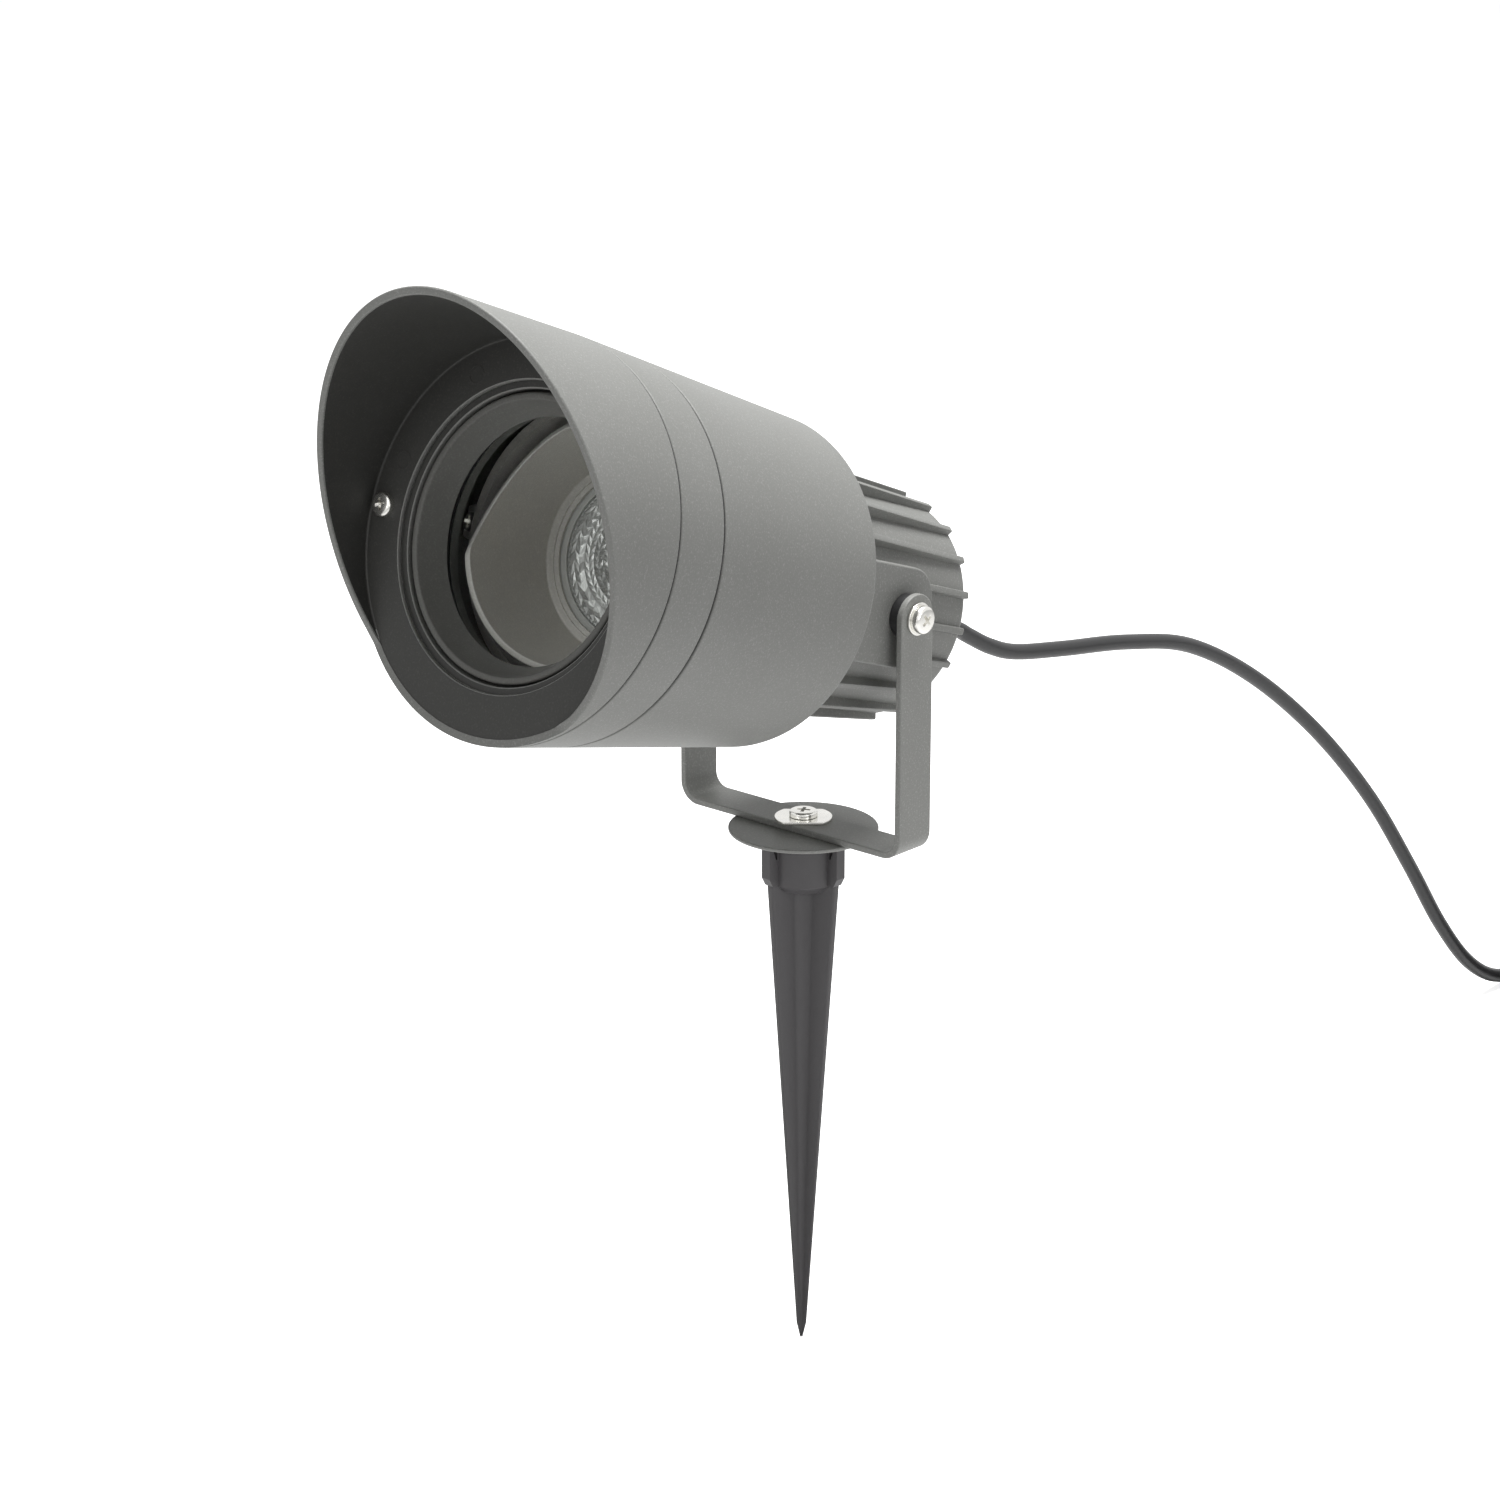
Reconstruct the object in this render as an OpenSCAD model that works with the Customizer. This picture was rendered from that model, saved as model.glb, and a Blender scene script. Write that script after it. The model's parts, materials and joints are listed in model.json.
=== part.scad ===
// Garden spike spotlight with a glare shield, a tilting lamp cup, a U-shaped yoke and a ground spike.
// The spike stands on the Z axis, the head looks along -Y at tilt 0 and the tilt axis runs along X.
// Z = 0 is the underside of the yoke strip. Head parts are drawn in (x, up, s), where s runs along
// the head's own axis towards the light and is 0 at the tilt pivot.

/* [Head] */
// Outside diameter of the main tube at its front seam
tube_front_d = 109; // [102:1:116]
// Draft of the tube and the middle ring, wider towards the front, in degrees
draft_deg = 5.2; // [4.6:0.1:6]
// Distance from the tilt pivot to the tube's rear face
tube_rear_s = 27.5; // [26:0.5:32]
// Length of the main tube
tube_len = 75.6; // [72:0.1:90]
// Wall of the main tube
tube_wall = 2.6; // [2:0.1:3]
// Length of the middle ring between the two seams
bezel_len = 20.9; // [20.5:0.1:26]
// Width of each shadow seam
seam = 0.7; // [0.4:0.1:1]
// Depth of each shadow seam
seam_depth = 1.3; // [0.8:0.1:1.8]

/* [Glare shield] */
// Draft of the shield, wider towards the front, in degrees
visor_draft_deg = 3.4; // [2.5:0.1:5]
// Wall of the glare shield
visor_wall = 2.2; // [1.6:0.1:3]
// Thickness of the flange that the shield is screwed on by
flange_t = 1.6; // [1.2:0.1:2.4]
// Step from the glass out to the flange's opening
flange_hole_step = 2.4; // [1.6:0.1:4]
// Where the slanted cut crosses the head's axis, from the seam
visor_cut_reach = 22.5; // [16:0.5:30]
// Slant of the cut in degrees
visor_cut_deg = 26.3; // [20:0.1:32]
// Turn of the shield about the head's axis in degrees
visor_turn = 7; // [0:1:12]
// Distance of the face screws in from the flange's edge
face_screw_inset = 7.2; // [6.8:0.1:7.8]
// Diameter of the shallow round marks on the flange
mark_d = 5.4; // [4:0.1:6]
// Depth of the round marks
mark_depth = 0.4; // [0.2:0.1:0.8]

/* [Front glass and clamp ring] */
// Thickness of the front glass
glass_t = 3; // [2:0.1:4]
// Distance of the glass's edge in from the tube's outside
glass_inset = 14.5; // [14.1:0.1:15]
// Thickness of the flat gasket behind the glass
gasket_t = 1; // [0.6:0.1:1.4]
// Width of the clamp ring on the glass
clamp_w = 6.3; // [5:0.1:8]
// Width of the dark gap around the clamp ring
clamp_gap = 0.8; // [0.5:0.1:1]

/* [Lamp cup] */
// Turn of the lamp cup at rest, about its upright pivot, in degrees
lamp_turn = 9; // [0:0.5:9.5]
// Width of the gap between the cup's rim and the fixed ring round it
cup_ring_gap = 4.2; // [3.6:0.1:5.5]
// Wall of the cup
cup_wall = 1.8; // [1.4:0.1:2.2]
// Distance that the rim keeps back from the glass's gasket
cup_swing_gap = 6.2; // [6:0.1:8]
// Depth of the cup from its rim to the lip round the lamp
cup_depth = 32; // [30:0.5:33]
// Step from the lamp out to the cup's inside at the lip
cup_floor_step = 3; // [2.4:0.1:3.6]

/* [Lamp] */
// Width of the cup's slope and wall round the lamp
lamp_margin = 9.2; // [8.8:0.1:10]
// Length of the lamp without its pins, as a share of its diameter
lamp_len_share = 0.93; // [0.9:0.01:0.96]
// Diameter of the lamp's lens, as a share of the lamp's
lens_share = 0.9; // [0.84:0.01:0.92]
// Distance between the lamp's two pins
pin_pitch = 10; // [9.5:0.5:10.5]
// Diameter of the lamp holder, as a share of the lamp's
holder_share = 0.52; // [0.5:0.01:0.53]
// Length of the lamp holder
holder_len = 19; // [17:0.5:20]

/* [Finned rear housing] */
// Step from the tube's rear lip in to the core
core_inset = 6.7; // [6.2:0.1:7.5]
// Step in the core's radius from the tube to its rear end
core_taper = 1.6; // [1:0.1:3]
// Distance from the pivot back to the rear face
rear_reach = 35.5; // [32:0.5:38]
// Wall of the core
core_wall = 2.8; // [2.2:0.1:3.2]
// Number of fins
fin_count = 20; // [16:1:24]
// Thickness of each fin
fin_t = 2; // [1.4:0.1:2.6]
// Height of the fins at the tube
fin_front_h = 4; // [2.5:0.1:4.5]
// Height of the fins at their rear tips
fin_end_h = 1.8; // [1:0.1:3.8]
// Distance that the fins stop short of the rear face
fin_short = 1.8; // [0.5:0.1:3]
// Height of the two flat side pads over the core
pad_h = 3; // [2:0.1:3.6]
// Height of a pad above the pivot
pad_up = 13.8; // [11:0.1:15]
// Height of a pad below the pivot
pad_down = 15.3; // [11:0.1:16]
// Length of a pad behind the pivot
pad_back = 12; // [10:0.5:16]
// Corner radius of a pad
pad_corner_r = 10; // [6:0.5:11]

/* [Yoke] */
// Gap between a pad and a leg, which a spacer fills
leg_gap = 3.2; // [2.4:0.1:5]
// Width of the yoke strip
strip_w = 14; // [12:0.5:16]
// Thickness of the yoke strip
strip_t = 2; // [1.5:0.1:2.5]
// Outside radius of the two bends
bend_r = 6.5; // [4:0.5:9]
// Height of the tilt pivot above the strip's underside
pivot_h = 71.5; // [68:0.1:80]
// Tilt of the head at rest in degrees, up from level
head_tilt = 19; // [10:0.5:28]
// Diameter of the side screws' thread
side_screw_d = 4; // [3.5:0.5:4]
// Diameter of the pan bolt
pan_bolt_d = 5; // [4:0.5:5]
// Length of the flat-sided washer
pan_washer_d = 17; // [15:0.5:19]

/* [Spike] */
// Length of the spike below the strip's underside
spike_len = 164.7; // [140:0.5:200]
// Turn of the spike about its axis in degrees
spike_turn = -4.3; // [-45:0.1:45]
// Half span of the spike's ribs at the top
rib_span = 14; // [12.5:0.1:16]
// Step from the ribs out to the lugs on the neck
lug_step = 1.5; // [1:0.1:2.5]
// Lower end of the lugs below the strip
lug_end = 15.5; // [14:0.1:17.5]
// Thickness of the lugs
lug_t = 3.4; // [2.6:0.1:4.5]
// Wall of the neck's barrel round the flange's hub
barrel_wall = 6.3; // [5:0.1:6.5]
// Lower end of the barrel below the strip
barrel_end = 18.1; // [17.6:0.1:24]
// Radius of the round flange under the yoke
flange_r = 22.1; // [20:0.1:24]
// Thickness of the round flange
disc_t = 1.2; // [1.1:0.1:2.4]

/* [Cable] */
// Distance of the cable's gland below the middle of the rear face
gland_drop = 3; // [0:0.1:4]
// Diameter of the cable
cord_d = 5; // [4.6:0.1:5.2]
// Loops in each of the coil's two layers
layer_turns = 2.375; // [1.375:1:3.375]
// Radius of the coil's outer loop
coil_out_r = 37.2; // [34:0.1:44]
// Gap between the cable's loops and between its layers
coil_lay_gap = 1.2; // [1.1:0.1:1.6]
// Distance of the coil's centre behind the spike
coil_y = 412; // [400:1:430]
// Diameter of the plug's body
plug_d = 37; // [34:0.5:39]

/* [Hidden] */

$fn = 96;
// One overrun for every cut
over = 1;
// Gap between flat faces that slide on each other
slide_gap = 0.1;
// Radial running fit of pins and screws in their bores
run_fit = 0.05;
// Radial fit of parts that are pressed or glued in
seat_fit = 0.03;
// Overlap of a piece's own solids where they join
merge = 0.1;
// Small chamfer on plain edges
edge_chamfer = 0.5;
// Facets of thin wires and rings
thin_facets = 24;
// Shadow gap round parts that drop in
drop_gap = 0.2;

// Places along the head's axis
seam2_s = tube_rear_s + tube_len;
seam1_s = seam2_s + bezel_len;
face_s = seam1_s + flange_t;
function head_r(s) = tube_front_d / 2 + tan(draft_deg) * (s - seam2_s);
function tube_in_r(s) = head_r(s) - tube_wall;
function visor_r(s) = head_r(seam1_s) + tan(visor_draft_deg) * (s - seam1_s);

// Rear lip of the tube, which the rear housing's flange sits on
lip_t = 2.6;
lip_w = 4.56;
lip_s = tube_rear_s + lip_t;
lip_r = tube_in_r(lip_s) - lip_w;
rear_round = 2;
spigot_len = 8;
spigot_play = 1;
spigot_r = tube_in_r(seam2_s) - drop_gap;

// Flange of the rear housing and the ring that holds it
housing_flange_t = 3;
housing_flange_gap = 0.8;
housing_flange_r = tube_in_r(lip_s) - housing_flange_gap;
housing_flange_s = lip_s + housing_flange_t;
flat_gasket_t = 0.8;
flat_gasket_w = 1.6;
flat_gasket_inset = 0.4;
flat_gasket_in_r = housing_flange_r - flat_gasket_inset - flat_gasket_w;
retaining_t = 1.2;
retaining_depth = 1;
retaining_w = 3.4;
retaining_mouth_deg = 16;
core_round = 3;
core_front_r = lip_r - core_inset;
core_end_r = core_front_r - core_taper;
pad_x = core_front_r + pad_h;
fin_step = 360 / fin_count;
fin_first = 3;

// Glass seat of the middle ring
ledge_t = 3;
ledge_w = 3.6;
seat_wall = 2.8;
glass_r = tube_front_d / 2 - glass_inset;
ledge_r = glass_r - ledge_w;
seat_r = glass_r + drop_gap;
clamp_in_r = glass_r - clamp_w;
flange_hole_r = glass_r + flange_hole_step;
glass_chamfer = 0.4;
front_plate_t = 5.5;
glass_recess = 9;
glass_front_s = seam1_s - glass_recess;
glass_back_s = glass_front_s - glass_t;
gasket_back_s = glass_back_s - gasket_t;
ledge_back_s = gasket_back_s - ledge_t;
bezel_wall = 2.6;
clamp_out_r = seat_r - clamp_gap;
clamp_lip_r = 1;
clamp_lip_deg = 150;
clamp_set_back = 0.3;
clamp_front_s = seam1_s - clamp_set_back;
clamp_thread_r = seat_r - seat_fit;
clamp_thread_len = 3;
o_ring_r = 0.85;
o_groove_depth = 1.8;
o_groove_w = 2.2;

// Screws
pan_head_share = 1.02;
pan_head_h_share = 0.68;
cross_w = 0.9;
cross_share = 0.6;
cross_depth_share = 0.6;
face_screw_d = 4;
face_screw_head_r = 3.6;
face_screw_head_h = 2.3;
face_screw_turn = 20;
face_screw_len = 10;
face_screw_circle_r = head_r(seam1_s) - face_screw_inset;
mark_line = 0.45;
mark_places = [33, 74, -33, -74];
face_boss_r = 4;
face_boss_len = 6;

// Gimbal ring round the cup
ring_wall = 2.6;
ring_w = 8;
ring_tab_w = 10;
ring_tab_t = 2;
ring_screw_d = 3;
ring_screw_head_r = 2.8;
ring_screw_head_h = 1.9;
ring_screw_len = 7;
ring_screw_tube_gap = 1.8;
ring_screw_ring_gap = 2.4;
ring_boss_r = 4;
ring_boss_len = 12;
ring_back_s = seam2_s - spigot_len - drop_gap - ring_screw_head_h - ring_tab_t;
ring_screw_circle_r = tube_in_r(ring_back_s) - ring_screw_tube_gap - ring_screw_head_r;
ring_out_r = ring_screw_circle_r - ring_screw_head_r - ring_screw_ring_gap;
ring_in_r = ring_out_r - ring_wall;
gimbal_s = ring_back_s + ring_w / 2;
gimbal_pin_d = 3.2;
gimbal_pin_head_r = 3;
gimbal_pin_head_h = 1.6;
cup_boss_wall = 2;
cup_boss_r = gimbal_pin_d / 2 + cup_boss_wall;
cup_boss_gap = 0.5;
cup_boss_end_r = ring_in_r - cup_boss_gap;

// Lamp cup, in its own frame with the pivot at 0
cup_rim_r = ring_in_r - cup_ring_gap;
lamp_d = 2 * (cup_rim_r - lamp_margin);
cup_floor_r = lamp_d / 2 + cup_floor_step;
cup_rim_reach = gasket_back_s - gimbal_s - cup_swing_gap;
cup_floor_z = cup_rim_reach - cup_depth;
cup_lip_w = 0.6;
cup_lip_r = lamp_d / 2 - cup_lip_w;
cup_lip_t = 1.5;
cup_groove_w = 1.4;
cup_groove_depth = 0.6;
cup_skirt_len = 11;
cup_skirt_gap = 1.2;
cup_skirt_step = 1;
cup_skirt_r = lamp_d / 2 + cup_skirt_gap;
cup_cut_deg = 42;
cup_cut_side = 59;
cup_cut_reach_share = 0.7;
lamp_front_z = cup_floor_z - cup_lip_t - drop_gap;
lamp_len = lamp_d * lamp_len_share;
lens_d = lamp_d * lens_share;
holder_d = lamp_d * holder_share;
lamp_ring_len = 6;
lamp_rim_step = 1;
lamp_shoulder_len = 4;
neck_share = 0.25;
lamp_neck_r = lamp_d * neck_share;
lamp_neck_len = 12;
lamp_back_z = lamp_front_z - lamp_len;
lens_t = 1.6;
lens_recess = 0.6;
lens_seat_z = lamp_front_z - lens_recess;
lens_ledge = 2;
lens_ring_steps = [4, 4.6, 6, 7];
lens_groove = 0.5;
led_share = 0.16;
led_r = lamp_d * led_share;
led_t = 1.6;
led_dome_h = 0.8;
led_rim = 3;
led_depth = 9;
lamp_pin_r = 1.6;
lamp_pin_head_r = 2.4;
lamp_pin_head_t = 2;
lamp_pin_len = 7;
holder_gap = 0.3;
holder_front_z = lamp_back_z - holder_gap;
holder_slot_r = 2.8;
holder_slot_len = 8.5;
clip_wire_r = 0.6;
clip_start_deg = 30;
clip_sweep_deg = 320;

// Yoke screws on the pads
spacer_r = 6.4;
washer_t = 0.8;
washer_rim = 0.72;
leg_in_x = pad_x + leg_gap;
yoke_half_w = leg_in_x + strip_t;
spacer_end_x = leg_in_x - slide_gap;
washer_x = yoke_half_w + slide_gap;
side_head_x = washer_x + washer_t;
side_head_r = side_screw_d * pan_head_share;
side_head_h = side_screw_d * pan_head_h_share;
washer_r = side_head_r + washer_rim;
side_shoulder_step = 0.2;
side_shoulder_r = side_screw_d / 2 + side_shoulder_step;
side_thread_gap = 0.4;
side_thread_depth = pad_h + core_wall - side_thread_gap;

// Pan bolt through the strip, the flange and its nut
pan_washer_t = 1;
pan_washer_flat_share = 0.74;
pan_washer_turn = 41;
pan_washer_play = 0.15;
pan_washer_hole_r = pan_bolt_d / 2 + pan_washer_play;
pan_head_z = strip_t + pan_washer_t + slide_gap;
bolt_head_share = 0.84;
bolt_head_h_share = 0.38;
pan_head_r = pan_bolt_d * bolt_head_share;
pan_head_h = pan_bolt_d * bolt_head_h_share;
nut_share = 1.6;
nut_flats_d = pan_bolt_d * nut_share;
nut_corner_r = nut_flats_d / 2 / cos(30);
nut_t = 4;
hub_wall = 1.08;
hub_r = nut_corner_r + hub_wall;
hub_end = 12.2;
bolt_overhang = 0.9;
bolt_end = hub_end + bolt_overhang;
disc_top = -slide_gap;
disc_bottom = disc_top - disc_t;

// Spike cross-section as shares of the rib's span
valley_share = 0.3;
valley_deg = 28;
rib_edge_share = 0.085;
tip_scale = 0.11;

// Neck of the spike: barrel and lugs with a slanted slot
barrel_r = hub_r + barrel_wall;
barrel_chamfer = 2.4;
lug_chamfer = 2.7;
lug_slot_roof = 1;
lug_slot_foot = 0.3;
lug_slot_rim = 0.9;
lug_slot_h = 6.4;

// Cable gland on the rear face
gland_flats_d = 17;
gland_hex_len = 5;
gland_thread_r = 6;
gland_nut_len = 9;
gland_nut_r = 8;
gland_overrun = 2;
relief_len = 20;
relief_wall = 1.8;
relief_end_wall = 0.5;
gland_nose_wall = 0.7;
gland_nose_deg = 60;
relief_r = cord_d / 2 + relief_wall;
relief_end_r = cord_d / 2 + relief_end_wall;
gland_nose_r = relief_r + gland_nose_wall;
gland_s = -rear_reach;
gland_nut_s = gland_s - gland_hex_len;
relief_s = gland_nut_s - gland_nut_len;
cord_start_s = relief_s - relief_len;

// Terminal block inside the rear housing
block_w_share = 0.9028;
block_h_share = 0.4167;
block_w = (core_end_r - core_wall) * block_w_share;
block_h = (core_end_r - core_wall) * block_h_share;
block_t = 13;
core_bend_r = gland_thread_r + gland_overrun;
block_up = core_bend_r - gland_drop;
block_back_s = core_wall - rear_reach;
block_screw_r = 2.2;
core_wire_r = 0.9;
core_wire_pitch = 2.4;
core_start_s = block_back_s + gland_overrun;
block_screw_depth = 2;
lead_spread = 3;
lead_straight = 5;
lead_sag_share = 0.6;
lead_in = 4;

// Cable route: the start follows the strain relief, the rest is laid by hand
cord_r = cord_d / 2;
floor_z = -spike_len;
tie_t = 1.2;
tie_gap = 0.4;
cord_floor_z = floor_z + tie_t + tie_gap + cord_r;
cord_start = [0, -cord_start_s * cos(head_tilt) - gland_drop * sin(head_tilt),
    pivot_h + cord_start_s * sin(head_tilt) - gland_drop * cos(head_tilt)];
cord_lead = [0, -cos(head_tilt), sin(head_tilt)];
cord_lead_len = 7;
// Shares of the way from the cable's start to the coil, back and down
cord_route_shares = [
    [0.0324, 0.0244], [0.0641, 0.0534], [0.1015, 0.0762], [0.1707, 0.0974], [0.2657, 0.1236],
    [0.3636, 0.1667], [0.4701, 0.2610], [0.5796, 0.3965], [0.6775, 0.5514], [0.7552, 0.7062],
    [0.8186, 0.8418], [0.8791, 0.9434], [0.9395, 0.9981]];
coil_pitch = cord_d + coil_lay_gap;
coil_x = coil_out_r;
cord_arrival = [0, coil_y, cord_floor_z];
cord_route = [for (w = cord_route_shares) [0, cord_start[1] + w[0] * (coil_y - cord_start[1]),
    cord_start[2] + w[1] * (cord_floor_z - cord_start[2])]];
coil_in_r = coil_out_r - layer_turns * coil_pitch;
climb_turns = 0.5;
coil_turns = 2 * layer_turns + climb_turns;
coil_rings_per_turn = 24;
coil_sides = 6;
coil_far_rings = 13;
tie_w = 8;
tie_turn = -30;

// Plug on its side on the ground
plug_body_len = 30;
plug_grip_len = 22;
plug_grip_r = 9;
plug_neck_wall = 1.5;
plug_neck_r = cord_r + plug_neck_wall;
plug_rib_count = 4;
plug_chamfer = 1;
plug_rib_t = 2;
plug_rib_h = 1.2;
plug_edge_r = 3;
plug_pin_r = 2.4;
plug_pin_len = 19;
plug_pin_half = 9.5;
plug_face_depth = 2;
plug_face_wall = 3;
clip_w = 6;
clip_t = 1;
clip_set_in = 0.2;
clip_len = 14;
plug_gap = 6.3;
end_reach = 20;
end_hump = 2.6;
end_straight = 12;
end_drop = 1;
plug_axis_z = floor_z + plug_d / 2;
plug_tail_x = coil_x + coil_out_r + cord_r + plug_gap;
coil_exit = [coil_x, coil_y + coil_out_r, cord_floor_z + coil_pitch];
plug_tail = [plug_tail_x, coil_y + coil_out_r, plug_axis_z];
end_sag = [coil_x + end_reach, coil_y + coil_out_r, cord_floor_z + coil_pitch + end_hump];

// Helpers
function arc(cx, cy, r, from, to, n = 8) =
    [for (i = [0:n]) let (a = from + (to - from) * i / n) [cx + r * cos(a), cy + r * sin(a)]];
function unit(v) = v / norm(v);
function spline(a, b, c, d, t) =
    0.5 * (2 * b + (c - a) * t + (2 * a - 5 * b + 4 * c - d) * t * t + (3 * b - a - 3 * c + d) * t * t * t);
function smooth_route(p, steps) = let (
    n = len(p) - 1, ends = concat([2 * p[0] - p[1]], p, [2 * p[n] - p[n - 1]]))
    [for (i = [0:n - 1]) for (k = [0:steps - 1])
        spline(ends[i], ends[i + 1], ends[i + 2], ends[i + 3], k / steps), p[n]];
function tangent(p, i) = unit(p[min(i + 1, len(p) - 1)] - p[max(i - 1, 0)]);
function route_len(p) = len(p) < 2 ? 0 : [for (i = 0, s = 0; i < len(p); i = i + 1,
    s = s + (i < len(p) ? norm(p[i] - p[i - 1]) : 0)) s][len(p) - 1];

module in_head() {
    translate([0, 0, pivot_h]) rotate([-head_tilt, 0, 0]) rotate([90, 0, 0]) children();
}

module in_gland() {
    in_head() translate([0, -gland_drop, 0]) children();
}

module in_gimbal() {
    in_head() translate([0, 0, gimbal_s]) rotate([0, lamp_turn, 0]) children();
}

module turned(points) {
    rotate_extrude() polygon(points);
}

module both_sides() {
    children();
    mirror([1, 0, 0]) children();
}

// A tube through points, with its first and last ring square to its ends
module swept_tube(p, r, sides, side_of, first, last) {
    n = len(p);
    rings = [for (i = [0:n - 1]) let (
        t = i == 0 ? unit(first) : i == n - 1 ? unit(last) : tangent(p, i),
        u = unit(cross(cross(t, side_of), t)), v = cross(t, u))
        for (k = [0:sides - 1]) p[i] + r * (cos(360 * k / sides) * u + sin(360 * k / sides) * v)];
    walls = [for (i = [0:n - 2]) for (k = [0:sides - 1])
        let (a = i * sides + k, b = i * sides + (k + 1) % sides)
        each [[a, a + sides, b], [b, a + sides, b + sides]]];
    start_cap = [for (k = [1:sides - 2]) [0, k, k + 1]];
    end_cap = [for (k = [1:sides - 2]) [(n - 1) * sides, (n - 1) * sides + k + 1, (n - 1) * sides + k]];
    polyhedron(points = rings, faces = concat(walls, start_cap, end_cap), convexity = 10);
}

// A pan head with a cross recess, its seat at z = 0
module pan_head(r, h) {
    reach = r * cross_share;
    depth = h * cross_depth_share;
    difference() {
        turned(concat([[0, 0], [r, 0]], arc(r - h / 2, h / 2, h / 2, 0, 90, 6), [[0, h]]));
        for (a = [0, 90])
            rotate(a) translate([-reach, -cross_w / 2, h - depth]) cube([2 * reach, cross_w, depth + over]);
    }
}

// Spike and its neck
module star_profile() {
    valley = rib_span * valley_share;
    edge = rib_span * rib_edge_share;
    polygon([for (i = [0:3]) each [
        rib_span * [cos(90 * i), sin(90 * i)] + edge * [sin(90 * i), -cos(90 * i)],
        rib_span * [cos(90 * i), sin(90 * i)] - edge * [sin(90 * i), -cos(90 * i)],
        valley * [cos(90 * i + valley_deg), sin(90 * i + valley_deg)],
        valley * [cos(90 * (i + 1) - valley_deg), sin(90 * (i + 1) - valley_deg)]]]);
}

module lug_plate() {
    span = rib_span + lug_step;
    slot_x = barrel_r + lug_slot_foot;
    slot_z = disc_bottom - lug_slot_roof;
    difference() {
        translate([0, lug_t / 2, 0]) rotate([90, 0, 0]) linear_extrude(lug_t)
            polygon([[-span, disc_bottom], [-span, lug_chamfer - lug_end], [-rib_span, -lug_end],
                [rib_span, -lug_end], [span, lug_chamfer - lug_end], [span, disc_bottom]]);
        both_sides() translate([0, lug_t, 0]) rotate([90, 0, 0]) linear_extrude(2 * lug_t)
            polygon([[slot_x, slot_z], [slot_x, slot_z - lug_slot_h], [span - lug_slot_rim, slot_z]]);
    }
}

module spike() {
    color([0.27, 0.26, 0.265]) rotate(spike_turn) difference() {
        union() {
            translate([0, 0, merge - lug_end]) mirror([0, 0, 1])
                linear_extrude(spike_len - lug_end + merge, scale = tip_scale) star_profile();
            turned([[0, -barrel_end], [barrel_r - barrel_chamfer, -barrel_end],
                [barrel_r, barrel_chamfer - barrel_end], [barrel_r, disc_bottom], [0, disc_bottom]]);
            lug_plate();
            rotate(90) lug_plate();
        }
        translate([0, 0, -hub_end - over]) cylinder(r = hub_r + seat_fit, h = hub_end + over);
    }
}

module flange_plate() {
    color([0.33, 0.33, 0.32]) difference() {
        union() {
            turned([[0, disc_bottom], [flange_r - edge_chamfer, disc_bottom],
                [flange_r, disc_bottom + edge_chamfer], [flange_r, disc_top - edge_chamfer],
                [flange_r - edge_chamfer, disc_top], [0, disc_top]]);
            translate([0, 0, -hub_end]) cylinder(r = hub_r, h = hub_end + disc_bottom + disc_t / 2);
        }
        translate([0, 0, -hub_end - over]) cylinder(r = pan_bolt_d / 2 + run_fit, h = hub_end + 2 * over);
        translate([0, 0, -hub_end - over]) cylinder(r = nut_corner_r + slide_gap, h = nut_t + over, $fn = 6);
    }
}

module pan_bolt() {
    color([0.75, 0.74, 0.72]) {
        translate([0, 0, pan_head_z]) pan_head(pan_head_r, pan_head_h);
        translate([0, 0, -bolt_end]) cylinder(r = pan_bolt_d / 2, h = bolt_end + pan_head_z);
    }
}

module pan_nut() {
    color([0.7, 0.7, 0.68]) translate([0, 0, -hub_end]) difference() {
        cylinder(r = nut_corner_r, h = nut_t, $fn = 6);
        translate([0, 0, -over]) cylinder(r = pan_bolt_d / 2 + seat_fit, h = nut_t + 2 * over);
    }
}

module pan_washer() {
    color([0.86, 0.85, 0.83]) translate([0, 0, strip_t]) rotate(pan_washer_turn)
        linear_extrude(pan_washer_t) difference() {
            intersection() {
                circle(d = pan_washer_d);
                square([pan_washer_d, pan_washer_d * pan_washer_flat_share], center = true);
            }
            circle(r = pan_washer_hole_r);
        }
}

// Yoke: one bent strip with round leg ends
module bent_profile() {
    inner_r = bend_r - strip_t;
    side_x = yoke_half_w - bend_r;
    translate([-side_x, 0]) square([2 * side_x, strip_t]);
    both_sides() {
        translate([leg_in_x, bend_r]) square([strip_t, pivot_h + strip_w - bend_r]);
        translate([side_x, bend_r]) intersection() {
            difference() {
                circle(r = bend_r);
                circle(r = inner_r);
            }
            translate([0, -bend_r]) square(bend_r);
        }
    }
}

module yoke() {
    color([0.47, 0.46, 0.44]) difference() {
        intersection() {
            translate([0, strip_w / 2, 0]) rotate([90, 0, 0]) linear_extrude(strip_w) bent_profile();
            rotate([90, 0, 90]) translate([0, 0, -yoke_half_w - over])
                linear_extrude(2 * (yoke_half_w + over)) {
                    translate([-strip_w / 2, -over]) square([strip_w, pivot_h + over]);
                    translate([0, pivot_h]) circle(d = strip_w);
                }
        }
        translate([0, 0, -over]) cylinder(r = pan_bolt_d / 2 + run_fit, h = strip_t + 2 * over);
        translate([-yoke_half_w - over, 0, pivot_h]) rotate([0, 90, 0])
            cylinder(r = side_shoulder_r + run_fit, h = 2 * (yoke_half_w + over));
    }
}

// Main tube
module ring_boss_places() {
    for (a = [0, 180]) rotate(a) translate([ring_screw_circle_r, 0]) children();
}

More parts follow.
